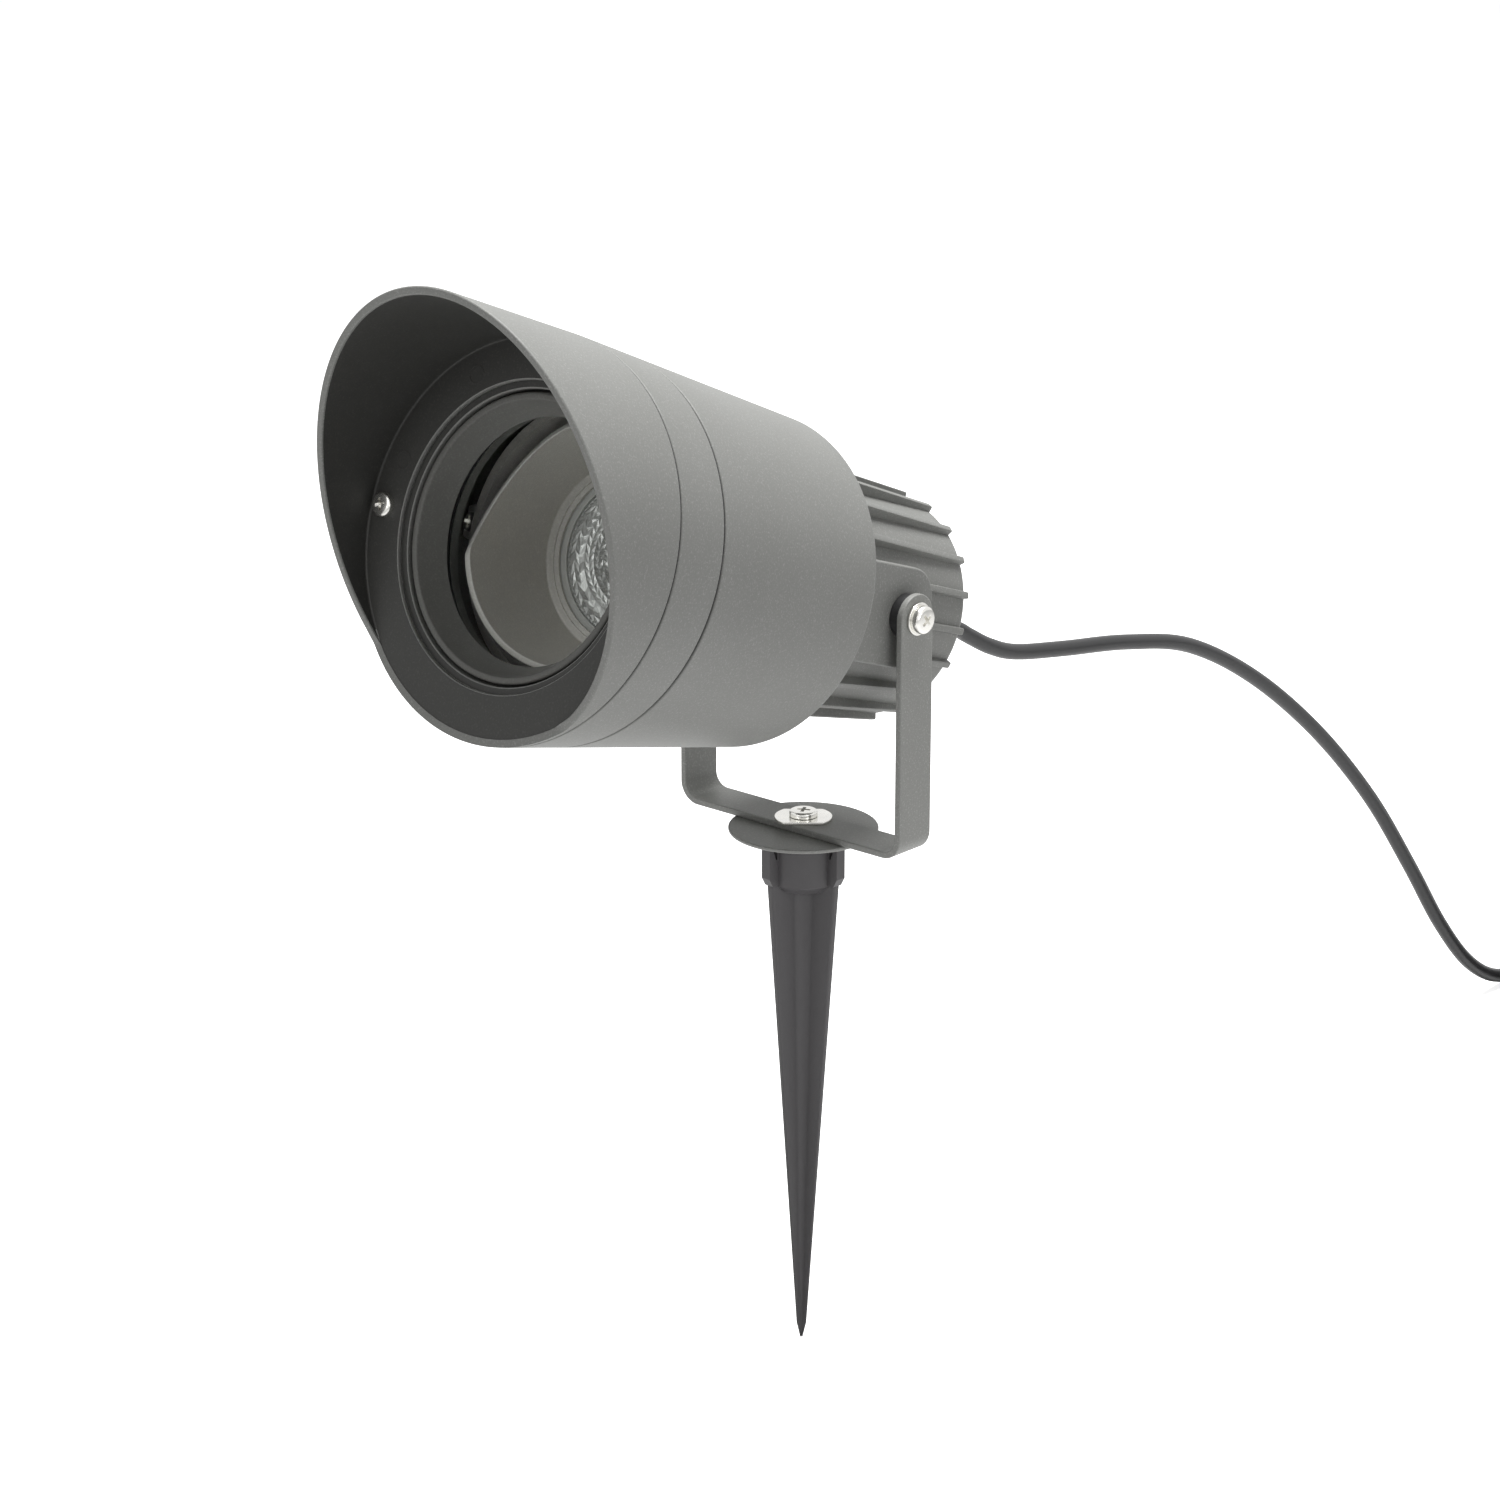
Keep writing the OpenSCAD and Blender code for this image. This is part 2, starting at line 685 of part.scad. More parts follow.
module main_tube() {
    r0 = head_r(tube_rear_s + rear_round);
    bore_s = seam2_s - spigot_len - spigot_play;
    boss_back_s = ring_back_s - ring_boss_len;
    color([0.49, 0.49, 0.47]) in_head() difference() {
        union() {
            turned(concat(
                arc(r0 - rear_round, tube_rear_s + rear_round, rear_round, -90, 0, 6),
                [[head_r(seam2_s), seam2_s], [spigot_r, seam2_s], [spigot_r, bore_s],
                 [tube_in_r(bore_s), bore_s], [tube_in_r(lip_s), lip_s], [lip_r, lip_s],
                 [lip_r, tube_rear_s]]));
            intersection() {
                ring_boss_places() translate([0, 0, boss_back_s]) linear_extrude(ring_boss_len) {
                    circle(r = ring_boss_r);
                    translate([0, -ring_boss_r]) square(2 * ring_boss_r);
                }
                turned([[0, 0], [head_r(0) - tube_wall / 2, 0], [head_r(seam2_s) - tube_wall / 2, seam2_s],
                    [0, seam2_s]]);
            }
        }
        ring_boss_places() translate([0, 0, boss_back_s - over])
            cylinder(r = ring_screw_d / 2 + seat_fit, h = ring_boss_len + 2 * over);
        translate([0, 0, housing_flange_s]) linear_extrude(retaining_t) difference() {
            circle(r = tube_in_r(lip_s) + retaining_depth);
            circle(r = tube_in_r(lip_s) - over);
        }
    }
}

// Finned rear housing
module fin() {
    foot_r = core_end_r - core_round;
    front_r = core_front_r + fin_front_h;
    rear_s = fin_short - rear_reach;
    translate([-fin_t / 2, 0, 0]) rotate([90, 0, 90]) linear_extrude(fin_t)
        polygon([[foot_r, rear_s], [core_end_r + fin_end_h, rear_s], [front_r, tube_rear_s],
            [front_r, lip_s + over], [foot_r, lip_s + over]]);
}

module pad_profile() {
    w = pad_down + pad_up;
    corner_s = pad_corner_r - pad_back;
    translate([-pad_down, corner_s]) square([w, lip_s - corner_s]);
    translate([pad_corner_r - pad_down, -pad_back]) square([w - 2 * pad_corner_r, pad_corner_r + over]);
    for (x = [pad_corner_r - pad_down, pad_up - pad_corner_r])
        translate([x, corner_s]) circle(r = pad_corner_r);
}

module rear_housing() {
    flange_in_r = core_front_r - core_wall;
    color([0.53, 0.53, 0.52]) in_head() difference() {
        union() {
            turned(concat([[0, -rear_reach]],
                arc(core_end_r - core_round, core_round - rear_reach, core_round, -90, 0, 6),
                [[core_front_r, lip_s], [housing_flange_r, lip_s], [housing_flange_r, housing_flange_s],
                 [0, housing_flange_s]]));
            for (i = [0:fin_count - 1]) rotate(-(fin_first + i * fin_step)) fin();
            both_sides() rotate([90, 0, 90]) translate([0, 0, core_front_r / 2])
                linear_extrude(pad_x - core_front_r / 2) pad_profile();
        }
        turned([[0, core_wall - rear_reach], [core_end_r - core_wall, core_wall - rear_reach],
            [flange_in_r, lip_s], [flange_in_r, housing_flange_s + over], [0, housing_flange_s + over]]);
        translate([0, -gland_drop, -rear_reach - over])
            cylinder(r = gland_thread_r + seat_fit, h = core_wall + 2 * over);
        for (a = [-90, 90]) rotate([0, a, 0]) translate([0, 0, pad_x - side_thread_depth])
            cylinder(r = side_screw_d / 2, h = side_thread_depth + over);
        translate([0, 0, lip_s - over]) linear_extrude(flat_gasket_t + over) difference() {
            circle(r = flat_gasket_in_r + flat_gasket_w);
            circle(r = flat_gasket_in_r);
        }
    }
}

module housing_gasket() {
    color([0.1, 0.1, 0.1]) in_head() translate([0, 0, lip_s])
        linear_extrude(flat_gasket_t) difference() {
            circle(r = flat_gasket_in_r + flat_gasket_w - seat_fit);
            circle(r = flat_gasket_in_r + seat_fit);
        }
}

module retaining_ring() {
    out_r = tube_in_r(lip_s) + retaining_depth - run_fit;
    mouth = retaining_mouth_deg;
    color([0.62, 0.62, 0.6]) in_head() translate([0, 0, housing_flange_s])
        linear_extrude(retaining_t - run_fit) difference() {
            circle(r = out_r);
            circle(r = out_r - retaining_w);
            rotate(-90 - mouth / 2) polygon([[0, 0], [2 * out_r, 0], 2 * out_r * [cos(mouth), sin(mouth)]]);
        }
}

// Middle ring with the glass seat
module bezel_ring() {
    spigot_out_r = spigot_r - seat_fit;
    spigot_in_r = spigot_out_r - bezel_wall;
    plate_back_s = seam1_s - front_plate_t;
    boss_s = plate_back_s - face_boss_len;
    groove_r = spigot_out_r - o_groove_depth;
    groove_s = seam2_s - spigot_len / 2;
    back_r = head_r(seam2_s) - seam_depth;
    front_r = head_r(seam1_s) - seam_depth;
    web_s = seam2_s + bezel_wall;
    color([0.5, 0.5, 0.48]) in_head() difference() {
        union() {
            turned([[spigot_in_r, seam2_s - spigot_len], [spigot_out_r, seam2_s - spigot_len],
                [spigot_out_r, seam2_s], [back_r, seam2_s], [back_r, seam2_s + seam],
                [head_r(seam2_s + seam), seam2_s + seam], [head_r(seam1_s - seam), seam1_s - seam],
                [front_r, seam1_s - seam], [front_r, seam1_s], [seat_r, seam1_s],
                [seat_r, gasket_back_s], [ledge_r, gasket_back_s], [ledge_r, ledge_back_s],
                [seat_r + seat_wall, ledge_back_s], [seat_r + seat_wall, plate_back_s],
                [head_r(plate_back_s) - seam_depth - bezel_wall, plate_back_s], [back_r - bezel_wall, web_s],
                [spigot_in_r, web_s]]);
            for (x = [-face_screw_circle_r, face_screw_circle_r]) translate([x, 0, boss_s])
                cylinder(r = face_boss_r, h = face_boss_len + over);
        }
        for (x = [-face_screw_circle_r, face_screw_circle_r]) translate([x, 0, boss_s - over])
            cylinder(r = face_screw_d / 2 + seat_fit, h = front_plate_t + face_boss_len + 2 * over);
        translate([0, 0, groove_s - o_groove_w / 2]) linear_extrude(o_groove_w) difference() {
            circle(r = spigot_r + over);
            circle(r = groove_r);
        }
    }
}

module bezel_o_ring() {
    color([0.08, 0.08, 0.08]) in_head() translate([0, 0, seam2_s - spigot_len / 2]) rotate_extrude()
        translate([spigot_r - seat_fit - o_ring_r, 0]) circle(r = o_ring_r, $fn = thin_facets);
}

// Glare shield with its slanted cut
module glare_shield() {
    tube_end_s = seam1_s + visor_cut_reach + tan(visor_cut_deg) * tube_front_d;
    color([0.46, 0.46, 0.44]) in_head() difference() {
        turned([[flange_hole_r + edge_chamfer, seam1_s], [head_r(seam1_s), seam1_s],
            [visor_r(tube_end_s), tube_end_s], [visor_r(tube_end_s) - visor_wall, tube_end_s],
            [visor_r(face_s) - visor_wall, face_s], [flange_hole_r, face_s],
            [flange_hole_r, seam1_s + edge_chamfer]]);
        intersection() {
            translate([0, 0, seam1_s + visor_cut_reach]) rotate(-visor_turn) rotate([visor_cut_deg, 0, 0])
                translate([-tube_front_d, -tube_front_d, 0]) cube(2 * tube_front_d);
            translate([-tube_front_d, -tube_front_d, face_s]) cube(2 * tube_front_d);
        }
        for (x = [-face_screw_circle_r, face_screw_circle_r]) translate([x, 0, seam1_s - over])
            cylinder(r = face_screw_d / 2 + run_fit, h = flange_t + 2 * over);
        for (a = mark_places)
            rotate(a) translate([0, face_screw_circle_r - mark_d / 4, face_s - mark_depth])
                linear_extrude(mark_depth + over) difference() {
                    circle(d = mark_d);
                    circle(d = mark_d - 2 * mark_line);
                }
    }
}

module face_screws() {
    color([0.72, 0.71, 0.68]) in_head() for (x = [-face_screw_circle_r, face_screw_circle_r])
        translate([x, 0, face_s]) {
            rotate(face_screw_turn) pan_head(face_screw_head_r, face_screw_head_h);
            translate([0, 0, -face_screw_len]) cylinder(d = face_screw_d, h = face_screw_len + merge);
        }
}

module clamp_ring() {
    color([0.36, 0.36, 0.34]) in_head() turned(concat(
        [[clamp_in_r, glass_front_s], [clamp_thread_r, glass_front_s],
         [clamp_thread_r, glass_front_s + clamp_thread_len],
         [clamp_out_r, glass_front_s + clamp_thread_len + edge_chamfer]],
        arc(clamp_out_r - clamp_lip_r, clamp_front_s - clamp_lip_r, clamp_lip_r, 0, clamp_lip_deg, 8)));
}

module front_glass() {
    edge_r = glass_r - glass_chamfer;
    color([0.85, 0.9, 0.92, 0.35]) in_head() turned([[0, glass_back_s], [edge_r, glass_back_s],
        [glass_r, glass_back_s + glass_chamfer], [glass_r, glass_front_s - glass_chamfer],
        [edge_r, glass_front_s], [0, glass_front_s]]);
}

module glass_gasket() {
    color([0.07, 0.07, 0.07]) in_head() translate([0, 0, gasket_back_s])
        linear_extrude(gasket_t) difference() {
            circle(r = glass_r);
            circle(r = ledge_r + drop_gap);
        }
}

// Fixed gimbal ring that carries the lamp cup
module gimbal_ring() {
    tab_end = ring_screw_circle_r + ring_screw_head_r;
    tab_start = ring_in_r + ring_wall / 2;
    color([0.55, 0.55, 0.53]) in_head() difference() {
        translate([0, 0, ring_back_s]) {
            linear_extrude(ring_w) difference() {
                circle(r = ring_out_r);
                circle(r = ring_in_r);
            }
            for (a = [0, 180]) rotate(a) linear_extrude(ring_tab_t) {
                translate([tab_start, -ring_tab_w / 2])
                    square([ring_screw_circle_r - tab_start, ring_tab_w]);
                intersection() {
                    translate([ring_screw_circle_r, 0]) circle(d = ring_tab_w);
                    translate([tab_start, -ring_tab_w]) square([tab_end - tab_start, 2 * ring_tab_w]);
                }
            }
        }
        for (a = [-90, 90]) rotate([a, 0, 0]) translate([0, gimbal_s * sign(a), ring_in_r - over])
            cylinder(d = gimbal_pin_d + 2 * run_fit, h = ring_wall + 2 * over);
        ring_boss_places() translate([0, 0, ring_back_s - over])
            cylinder(d = ring_screw_d + 4 * run_fit, h = ring_tab_t + 2 * over);
    }
}

module gimbal_ring_screws() {
    color([0.7, 0.7, 0.68]) in_head() ring_boss_places() translate([0, 0, ring_back_s + ring_tab_t]) {
        pan_head(ring_screw_head_r, ring_screw_head_h);
        translate([0, 0, -ring_screw_len]) cylinder(d = ring_screw_d, h = ring_screw_len + merge);
    }
}

module gimbal_pins() {
    pin_start_r = cup_rim_r - cup_wall;
    color([0.7, 0.7, 0.68]) in_head() translate([0, 0, gimbal_s]) for (a = [-90, 90]) rotate([a, 0, 0]) {
        translate([0, 0, pin_start_r]) cylinder(d = gimbal_pin_d, h = ring_out_r - pin_start_r + merge);
        translate([0, 0, ring_out_r]) cylinder(r = gimbal_pin_head_r, h = gimbal_pin_head_h);
    }
}

// Side screws, washers and spacers of the tilt pivot
module side_screw() {
    translate([0, 0, pivot_h]) rotate([0, 90, 0]) {
        translate([0, 0, side_head_x]) rotate(head_tilt) pan_head(side_head_r, side_head_h);
        translate([0, 0, pad_x]) cylinder(r = side_shoulder_r, h = side_head_x - pad_x + merge);
        translate([0, 0, pad_x - side_thread_depth + side_thread_gap])
            cylinder(r = side_screw_d / 2 - seat_fit, h = side_thread_depth - side_thread_gap + merge);
    }
}

module pivot_screw_right() {
    color([0.78, 0.77, 0.75]) side_screw();
}

module pivot_screw_left() {
    color([0.78, 0.77, 0.75]) mirror([1, 0, 0]) side_screw();
}

module pivot_ring(x0, x1, r) {
    translate([x0, 0, pivot_h]) rotate([0, 90, 0]) difference() {
        cylinder(r = r, h = x1 - x0);
        translate([0, 0, -over]) cylinder(r = side_shoulder_r + seat_fit, h = x1 - x0 + 2 * over);
    }
}

module screw_washers() {
    color([0.72, 0.72, 0.7]) both_sides() pivot_ring(washer_x, side_head_x, washer_r);
}

module pivot_spacers() {
    color([0.15, 0.15, 0.15]) both_sides() pivot_ring(pad_x, spacer_end_x, spacer_r);
}

// Cable gland and strain relief
module cable_gland() {
    hex_r = gland_flats_d / 2 / cos(30);
    color([0.18, 0.18, 0.18]) in_gland() {
        translate([0, 0, gland_nut_s]) rotate(30) cylinder(r = hex_r, h = gland_hex_len, $fn = 6);
        translate([0, 0, gland_s - merge])
            cylinder(r = gland_thread_r, h = core_wall + gland_overrun + merge);
    }
}

module gland_nut() {
    mid_s = gland_nut_s - gland_nut_len / 2;
    color([0.16, 0.16, 0.16]) in_gland() turned(concat(
        [[0, gland_nut_s], [gland_nut_r, gland_nut_s], [gland_nut_r, mid_s]],
        arc(gland_nose_r, mid_s, gland_nut_r - gland_nose_r, 0, -gland_nose_deg, 5),
        [[gland_nose_r, relief_s], [0, relief_s]]));
}

module strain_relief() {
    color([0.1, 0.1, 0.1]) in_gland()
        turned([[0, relief_s], [relief_r, relief_s], [relief_end_r, cord_start_s], [0, cord_start_s]]);
}

module terminal_block() {
    color([0.85, 0.84, 0.8]) in_head() difference() {
        translate([-block_w / 2, block_up, block_back_s]) cube([block_w, block_h, block_t]);
        for (i = [-1:1])
            translate([i * block_w / 3, block_up + block_h / 2, block_back_s + block_t - block_screw_depth])
                cylinder(r = block_screw_r, h = block_screw_depth + over);
    }
}

module inner_cores() {
    for (i = [-1:1])
        color([[0.1, 0.25, 0.6], [0.35, 0.55, 0.15], [0.4, 0.22, 0.1]][i + 1]) in_head()
            translate([i * core_wire_pitch, block_up, core_start_s]) rotate([0, 90, 0]) rotate(180)
                rotate_extrude(angle = 90) translate([core_bend_r, 0])
                    circle(r = core_wire_r, $fn = thin_facets);
}

// Lamp cup and what it carries
module cup_cut(side) {
    rotate(side) translate([0, cup_rim_r * cup_cut_reach_share, cup_rim_reach]) rotate([-cup_cut_deg, 0, 0])
        translate([-2 * cup_rim_r, -cup_rim_r, 0]) cube([4 * cup_rim_r, 4 * cup_rim_r, cup_rim_r]);
}

module lamp_cup() {
    skirt_top = cup_floor_z - cup_lip_t;
    skirt_end = skirt_top - cup_skirt_len;
    groove_z = cup_floor_z - cup_groove_depth;
    rim_in = cup_rim_r - cup_wall;
    groove_r = cup_lip_r + cup_groove_w;
    skirt_out_r = cup_skirt_r + cup_wall;
    color([0.44, 0.43, 0.42]) in_gimbal() difference() {
        union() {
            difference() {
                turned([[rim_in, cup_rim_reach], [cup_floor_r, cup_floor_z], [groove_r, cup_floor_z],
                    [groove_r, groove_z], [cup_lip_r, groove_z], [cup_lip_r, skirt_top],
                    [cup_skirt_r, skirt_top], [cup_skirt_r, skirt_end], [skirt_out_r, skirt_end],
                    [skirt_out_r, skirt_top - cup_skirt_step], [cup_floor_r + cup_wall, cup_floor_z],
                    [cup_rim_r, cup_rim_reach]]);
                cup_cut(cup_cut_side);
                cup_cut(-cup_cut_side);
            }
            for (a = [-90, 90]) rotate([a, 0, 0]) translate([0, 0, cup_rim_r - 2 * cup_wall])
                cylinder(r = cup_boss_r, h = cup_boss_end_r - cup_rim_r + 2 * cup_wall);
        }
        turned([[0, cup_rim_reach + over], [rim_in, cup_rim_reach + over], [rim_in, cup_rim_reach],
            [cup_floor_r, cup_floor_z], [0, cup_floor_z]]);
        for (a = [-90, 90]) rotate([a, 0, 0]) translate([0, 0, cup_floor_r])
            cylinder(d = gimbal_pin_d + 2 * run_fit, h = cup_boss_end_r);
    }
}

module lamp_body() {
    r = lamp_d / 2;
    rim_r = r - lamp_rim_step;
    shoulder_z = lamp_front_z - lamp_ring_len;
    neck_z = lamp_back_z + lamp_neck_len;
    lens_r = lens_d / 2 + seat_fit;
    base_z = lens_seat_z - led_depth - led_t;
    color([0.8, 0.8, 0.79]) in_gimbal() turned([
        [lens_r, lamp_front_z], [r, lamp_front_z], [r, shoulder_z], [rim_r, shoulder_z - lamp_rim_step],
        [rim_r, shoulder_z - lamp_shoulder_len], [lamp_neck_r, neck_z], [lamp_neck_r, lamp_back_z],
        [0, lamp_back_z], [0, base_z], [led_r + led_rim, base_z],
        [lens_r - lens_ledge, lens_seat_z - lens_t], [lens_r, lens_seat_z - lens_t]]);
}

module lamp_lens() {
    r = lens_d / 2;
    back = lens_seat_z - lens_t;
    groove_z = lens_seat_z - lens_groove;
    step = [for (w = lens_ring_steps) r - w];
    color([0.9, 0.92, 0.93, 0.5]) in_gimbal() turned([[0, back], [r, back], [r, lens_seat_z],
        [step[0], lens_seat_z], [step[1], groove_z], [step[2], groove_z], [step[3], lens_seat_z],
        [0, lens_seat_z]]);
}

module led_module() {
    color([0.93, 0.85, 0.6]) in_gimbal() translate([0, 0, lens_seat_z - led_depth - led_t]) {
        cylinder(r = led_r, h = led_t);
        cylinder(r = led_r / 2, h = led_t + led_dome_h);
    }
}

module lamp_clip() {
    clip_z = lamp_front_z - lamp_ring_len - clip_wire_r - seat_fit;
    color([0.7, 0.7, 0.68]) in_gimbal() translate([0, 0, clip_z]) rotate(clip_start_deg)
        rotate_extrude(angle = clip_sweep_deg) translate([cup_skirt_r - clip_wire_r - seat_fit, 0])
            circle(r = clip_wire_r, $fn = thin_facets);
}

module lamp_pin_places() {
    for (x = [-pin_pitch / 2, pin_pitch / 2]) translate([x, 0, 0]) children();
}

module lamp_pins() {
    color([0.82, 0.8, 0.74]) in_gimbal() lamp_pin_places() {
        translate([0, 0, lamp_back_z - lamp_pin_len]) cylinder(r = lamp_pin_r, h = lamp_pin_len);
        translate([0, 0, lamp_back_z - lamp_pin_len]) cylinder(r = lamp_pin_head_r, h = lamp_pin_head_t);
    }
}

module lamp_holder() {
    color([0.9, 0.9, 0.87]) in_gimbal() difference() {
        translate([0, 0, holder_front_z - holder_len]) cylinder(d = holder_d, h = holder_len);
        lamp_pin_places() translate([0, 0, holder_front_z - holder_slot_len])
            cylinder(r = holder_slot_r, h = holder_slot_len + over);
    }
}

module lamp_leads() {
    back_z = holder_front_z - holder_len;
    across = [cos(lamp_turn), 0, -sin(lamp_turn)];
    lead = [-sin(lamp_turn), 0, -cos(lamp_turn)];
    block_front = block_back_s + block_t;
    block_mid = block_up + block_h / 2;
    for (m = [-1, 1]) {
        from = [0, 0, gimbal_s] - back_z * lead + m * lead_spread * across;
        to = [m * block_w / 6, block_mid, block_front];
        sag = [to[0] - lead_in, block_mid * lead_sag_share, (from[2] + block_front) / 2 - lead_spread];
        color(m < 0 ? [0.75, 0.74, 0.7] : [0.7, 0.45, 0.3]) in_head() swept_tube(
            smooth_route([from, from + lead_straight * lead, sag, to + [0, 0, lead_spread], to], 4),
            core_wire_r, 8, [1, 0, 0], lead, [0, 0, -1]);
    }
}

// Cable: free stretch, coil, short end and tie
run_points = smooth_route(
    concat([cord_start, cord_start - cord_lead_len * cord_lead], cord_route, [cord_arrival]), 4);
end_points = smooth_route([coil_exit, end_sag, plug_tail - [end_straight, 0, end_drop], plug_tail], 4);
climb_end = layer_turns + climb_turns;
function coil_r(turn) = turn < layer_turns ? coil_out_r - turn * coil_pitch
    : turn < climb_end ? coil_in_r : coil_in_r + (turn - climb_end) * coil_pitch;
function coil_rise(turn) = min(1, max(0, (turn - layer_turns) / climb_turns));
coil_count = round(coil_turns * coil_rings_per_turn);
coil_points = [for (i = [0:coil_count]) let (turn = i * coil_turns / coil_count, a = 180 - 360 * turn)
    [coil_x + coil_r(turn) * cos(a), coil_y + coil_r(turn) * sin(a),
     cord_floor_z + coil_pitch * coil_rise(turn)]];
coil_gaps = [for (i = [0:coil_count - coil_far_rings]) for (j = [i + coil_far_rings:coil_count])
    norm(coil_points[i] - coil_points[j]) - cord_d];
echo(least_gap_in_coil_mm = min(coil_gaps));
echo(cable_lengths_mm = [route_len(run_points), route_len(coil_points), route_len(end_points)]);

module cord_run() {
    color([0.2, 0.2, 0.2]) swept_tube(run_points, cord_r, 8, [1, 0, 0], -cord_lead, [0, 1, 0]);
}

module cord_coil() {
    color([0.2, 0.2, 0.2]) swept_tube(coil_points, cord_r, coil_sides, [0, 0, 1], [0, 1, 0], [1, 0, 0]);
}

module cord_end() {
    color([0.2, 0.2, 0.2]) swept_tube(end_points, cord_r, 8, [0, 1, 0], [1, 0, 0], [1, 0, 0]);
}

module coil_tie() {
    in_r = coil_in_r - cord_r - tie_gap;
    out_r = coil_out_r + cord_r + tie_gap;
    low = floor_z + tie_t;
    high = cord_floor_z + coil_pitch + cord_r + tie_gap;
    color([0.12, 0.12, 0.12]) translate([coil_x, coil_y, 0]) rotate(tie_turn) translate([0, tie_w / 2, 0])
        rotate([90, 0, 0]) linear_extrude(tie_w) difference() {
            translate([in_r - tie_t, low - tie_t])
                square([out_r - in_r + 2 * tie_t, high - low + 2 * tie_t]);
            translate([in_r, low]) square([out_r - in_r, high - low]);
        }
}

// Plug: axis along X, cable end first
module in_plug() {
    translate([plug_tail_x, coil_y + coil_out_r, plug_axis_z]) rotate([0, 90, 0]) children();
}

module plug_body() {
    r = plug_d / 2;
    body_z = plug_grip_len;
    end_z = body_z + plug_body_len;
    face_r = r - plug_face_wall;
    color([0.11, 0.11, 0.11]) in_plug() difference() {
        union() {
            turned(concat([[0, 0], [plug_neck_r, 0], [plug_grip_r, body_z - plug_edge_r]],
                arc(r - plug_edge_r, body_z + plug_edge_r, plug_edge_r, -90, 0, 6),
                [[r, end_z - plug_chamfer], [r - plug_chamfer, end_z], [0, end_z]]));
            for (i = [1:plug_rib_count]) let (way = i / (plug_rib_count + 1))
                translate([0, 0, way * (body_z - plug_edge_r) - plug_rib_t / 2]) cylinder(
                    r = plug_neck_r + (plug_grip_r - plug_neck_r) * way + plug_rib_h, h = plug_rib_t);
        }
        translate([0, 0, end_z - plug_face_depth]) cylinder(r = face_r, h = plug_face_depth + over);
        for (m = [-1, 1]) translate([-clip_w / 2, m > 0 ? r - clip_t : -r - over, end_z - clip_len])
            cube([clip_w, clip_t + over, clip_len + over]);
    }
}

module plug_pins() {
    end_z = plug_grip_len + plug_body_len - plug_face_depth;
    color([0.78, 0.77, 0.74]) in_plug() for (m = [-1, 1]) translate([m * plug_pin_half, 0, end_z])
        turned([[0, 0], [plug_pin_r, 0], [plug_pin_r, plug_pin_len - plug_chamfer],
            [plug_pin_r - plug_chamfer, plug_pin_len], [0, plug_pin_len]]);
}

module earth_clips() {
    r = plug_d / 2;
    end_z = plug_grip_len + plug_body_len;
    color([0.78, 0.77, 0.74]) in_plug() for (m = [-1, 1])
        translate([-clip_w / 2 + run_fit, m > 0 ? r - clip_t : clip_set_in - r, end_z - clip_len])
            cube([clip_w - 2 * run_fit, clip_t - clip_set_in, clip_len]);
}

spike();
flange_plate();
pan_bolt();
pan_nut();
yoke();
pan_washer();
main_tube();
rear_housing();
housing_gasket();
retaining_ring();
bezel_ring();
bezel_o_ring();
glare_shield();
face_screws();
clamp_ring();
front_glass();
glass_gasket();
gimbal_ring();
gimbal_ring_screws();
gimbal_pins();
pivot_screw_left();
pivot_screw_right();
screw_washers();
pivot_spacers();
cable_gland();
gland_nut();
strain_relief();
terminal_block();
inner_cores();
lamp_cup();
lamp_body();
lamp_lens();
led_module();
lamp_clip();
lamp_pins();
lamp_holder();
lamp_leads();
cord_run();
cord_coil();
cord_end();
coil_tie();
plug_body();
plug_pins();
earth_clips();
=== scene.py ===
import json
import math

import bmesh
import bpy
from bpy.props import FloatProperty, FloatVectorProperty, IntProperty, PointerProperty
from mathutils import Matrix, Vector


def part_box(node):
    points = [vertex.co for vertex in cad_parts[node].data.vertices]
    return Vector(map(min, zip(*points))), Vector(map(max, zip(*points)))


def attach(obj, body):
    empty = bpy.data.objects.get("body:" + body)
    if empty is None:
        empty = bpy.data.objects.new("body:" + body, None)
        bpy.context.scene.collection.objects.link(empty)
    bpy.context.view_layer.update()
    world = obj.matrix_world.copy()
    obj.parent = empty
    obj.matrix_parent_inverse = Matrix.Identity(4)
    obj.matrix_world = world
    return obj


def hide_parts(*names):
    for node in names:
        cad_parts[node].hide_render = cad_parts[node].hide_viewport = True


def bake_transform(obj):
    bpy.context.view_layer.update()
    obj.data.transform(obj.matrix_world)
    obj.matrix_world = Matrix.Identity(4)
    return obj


bl_info = {
    "name": "Garden Spike Spotlight",
    "version": (1, 0, 0),
    "blender": (4, 5, 0),
    "location": "View3D > Sidebar > Spotlight",
    "description": "Dresses a garden spotlight with a glare shield, yoke, ground spike and cable",
    "category": "Add Mesh",
}

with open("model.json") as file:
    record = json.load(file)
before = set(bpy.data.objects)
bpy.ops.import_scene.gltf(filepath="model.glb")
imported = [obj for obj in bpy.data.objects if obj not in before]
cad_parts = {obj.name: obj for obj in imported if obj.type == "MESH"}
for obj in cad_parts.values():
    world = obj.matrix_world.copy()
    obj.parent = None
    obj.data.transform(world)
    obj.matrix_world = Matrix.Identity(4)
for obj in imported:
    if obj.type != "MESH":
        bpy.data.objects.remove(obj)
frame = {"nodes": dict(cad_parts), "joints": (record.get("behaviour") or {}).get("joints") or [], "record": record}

MM = 0.001
SLOT_OF = {part["node"]: part["material_slot"] for part in frame["record"]["subparts"]}
JOINTS = {joint["name"]: joint for joint in frame["joints"]}

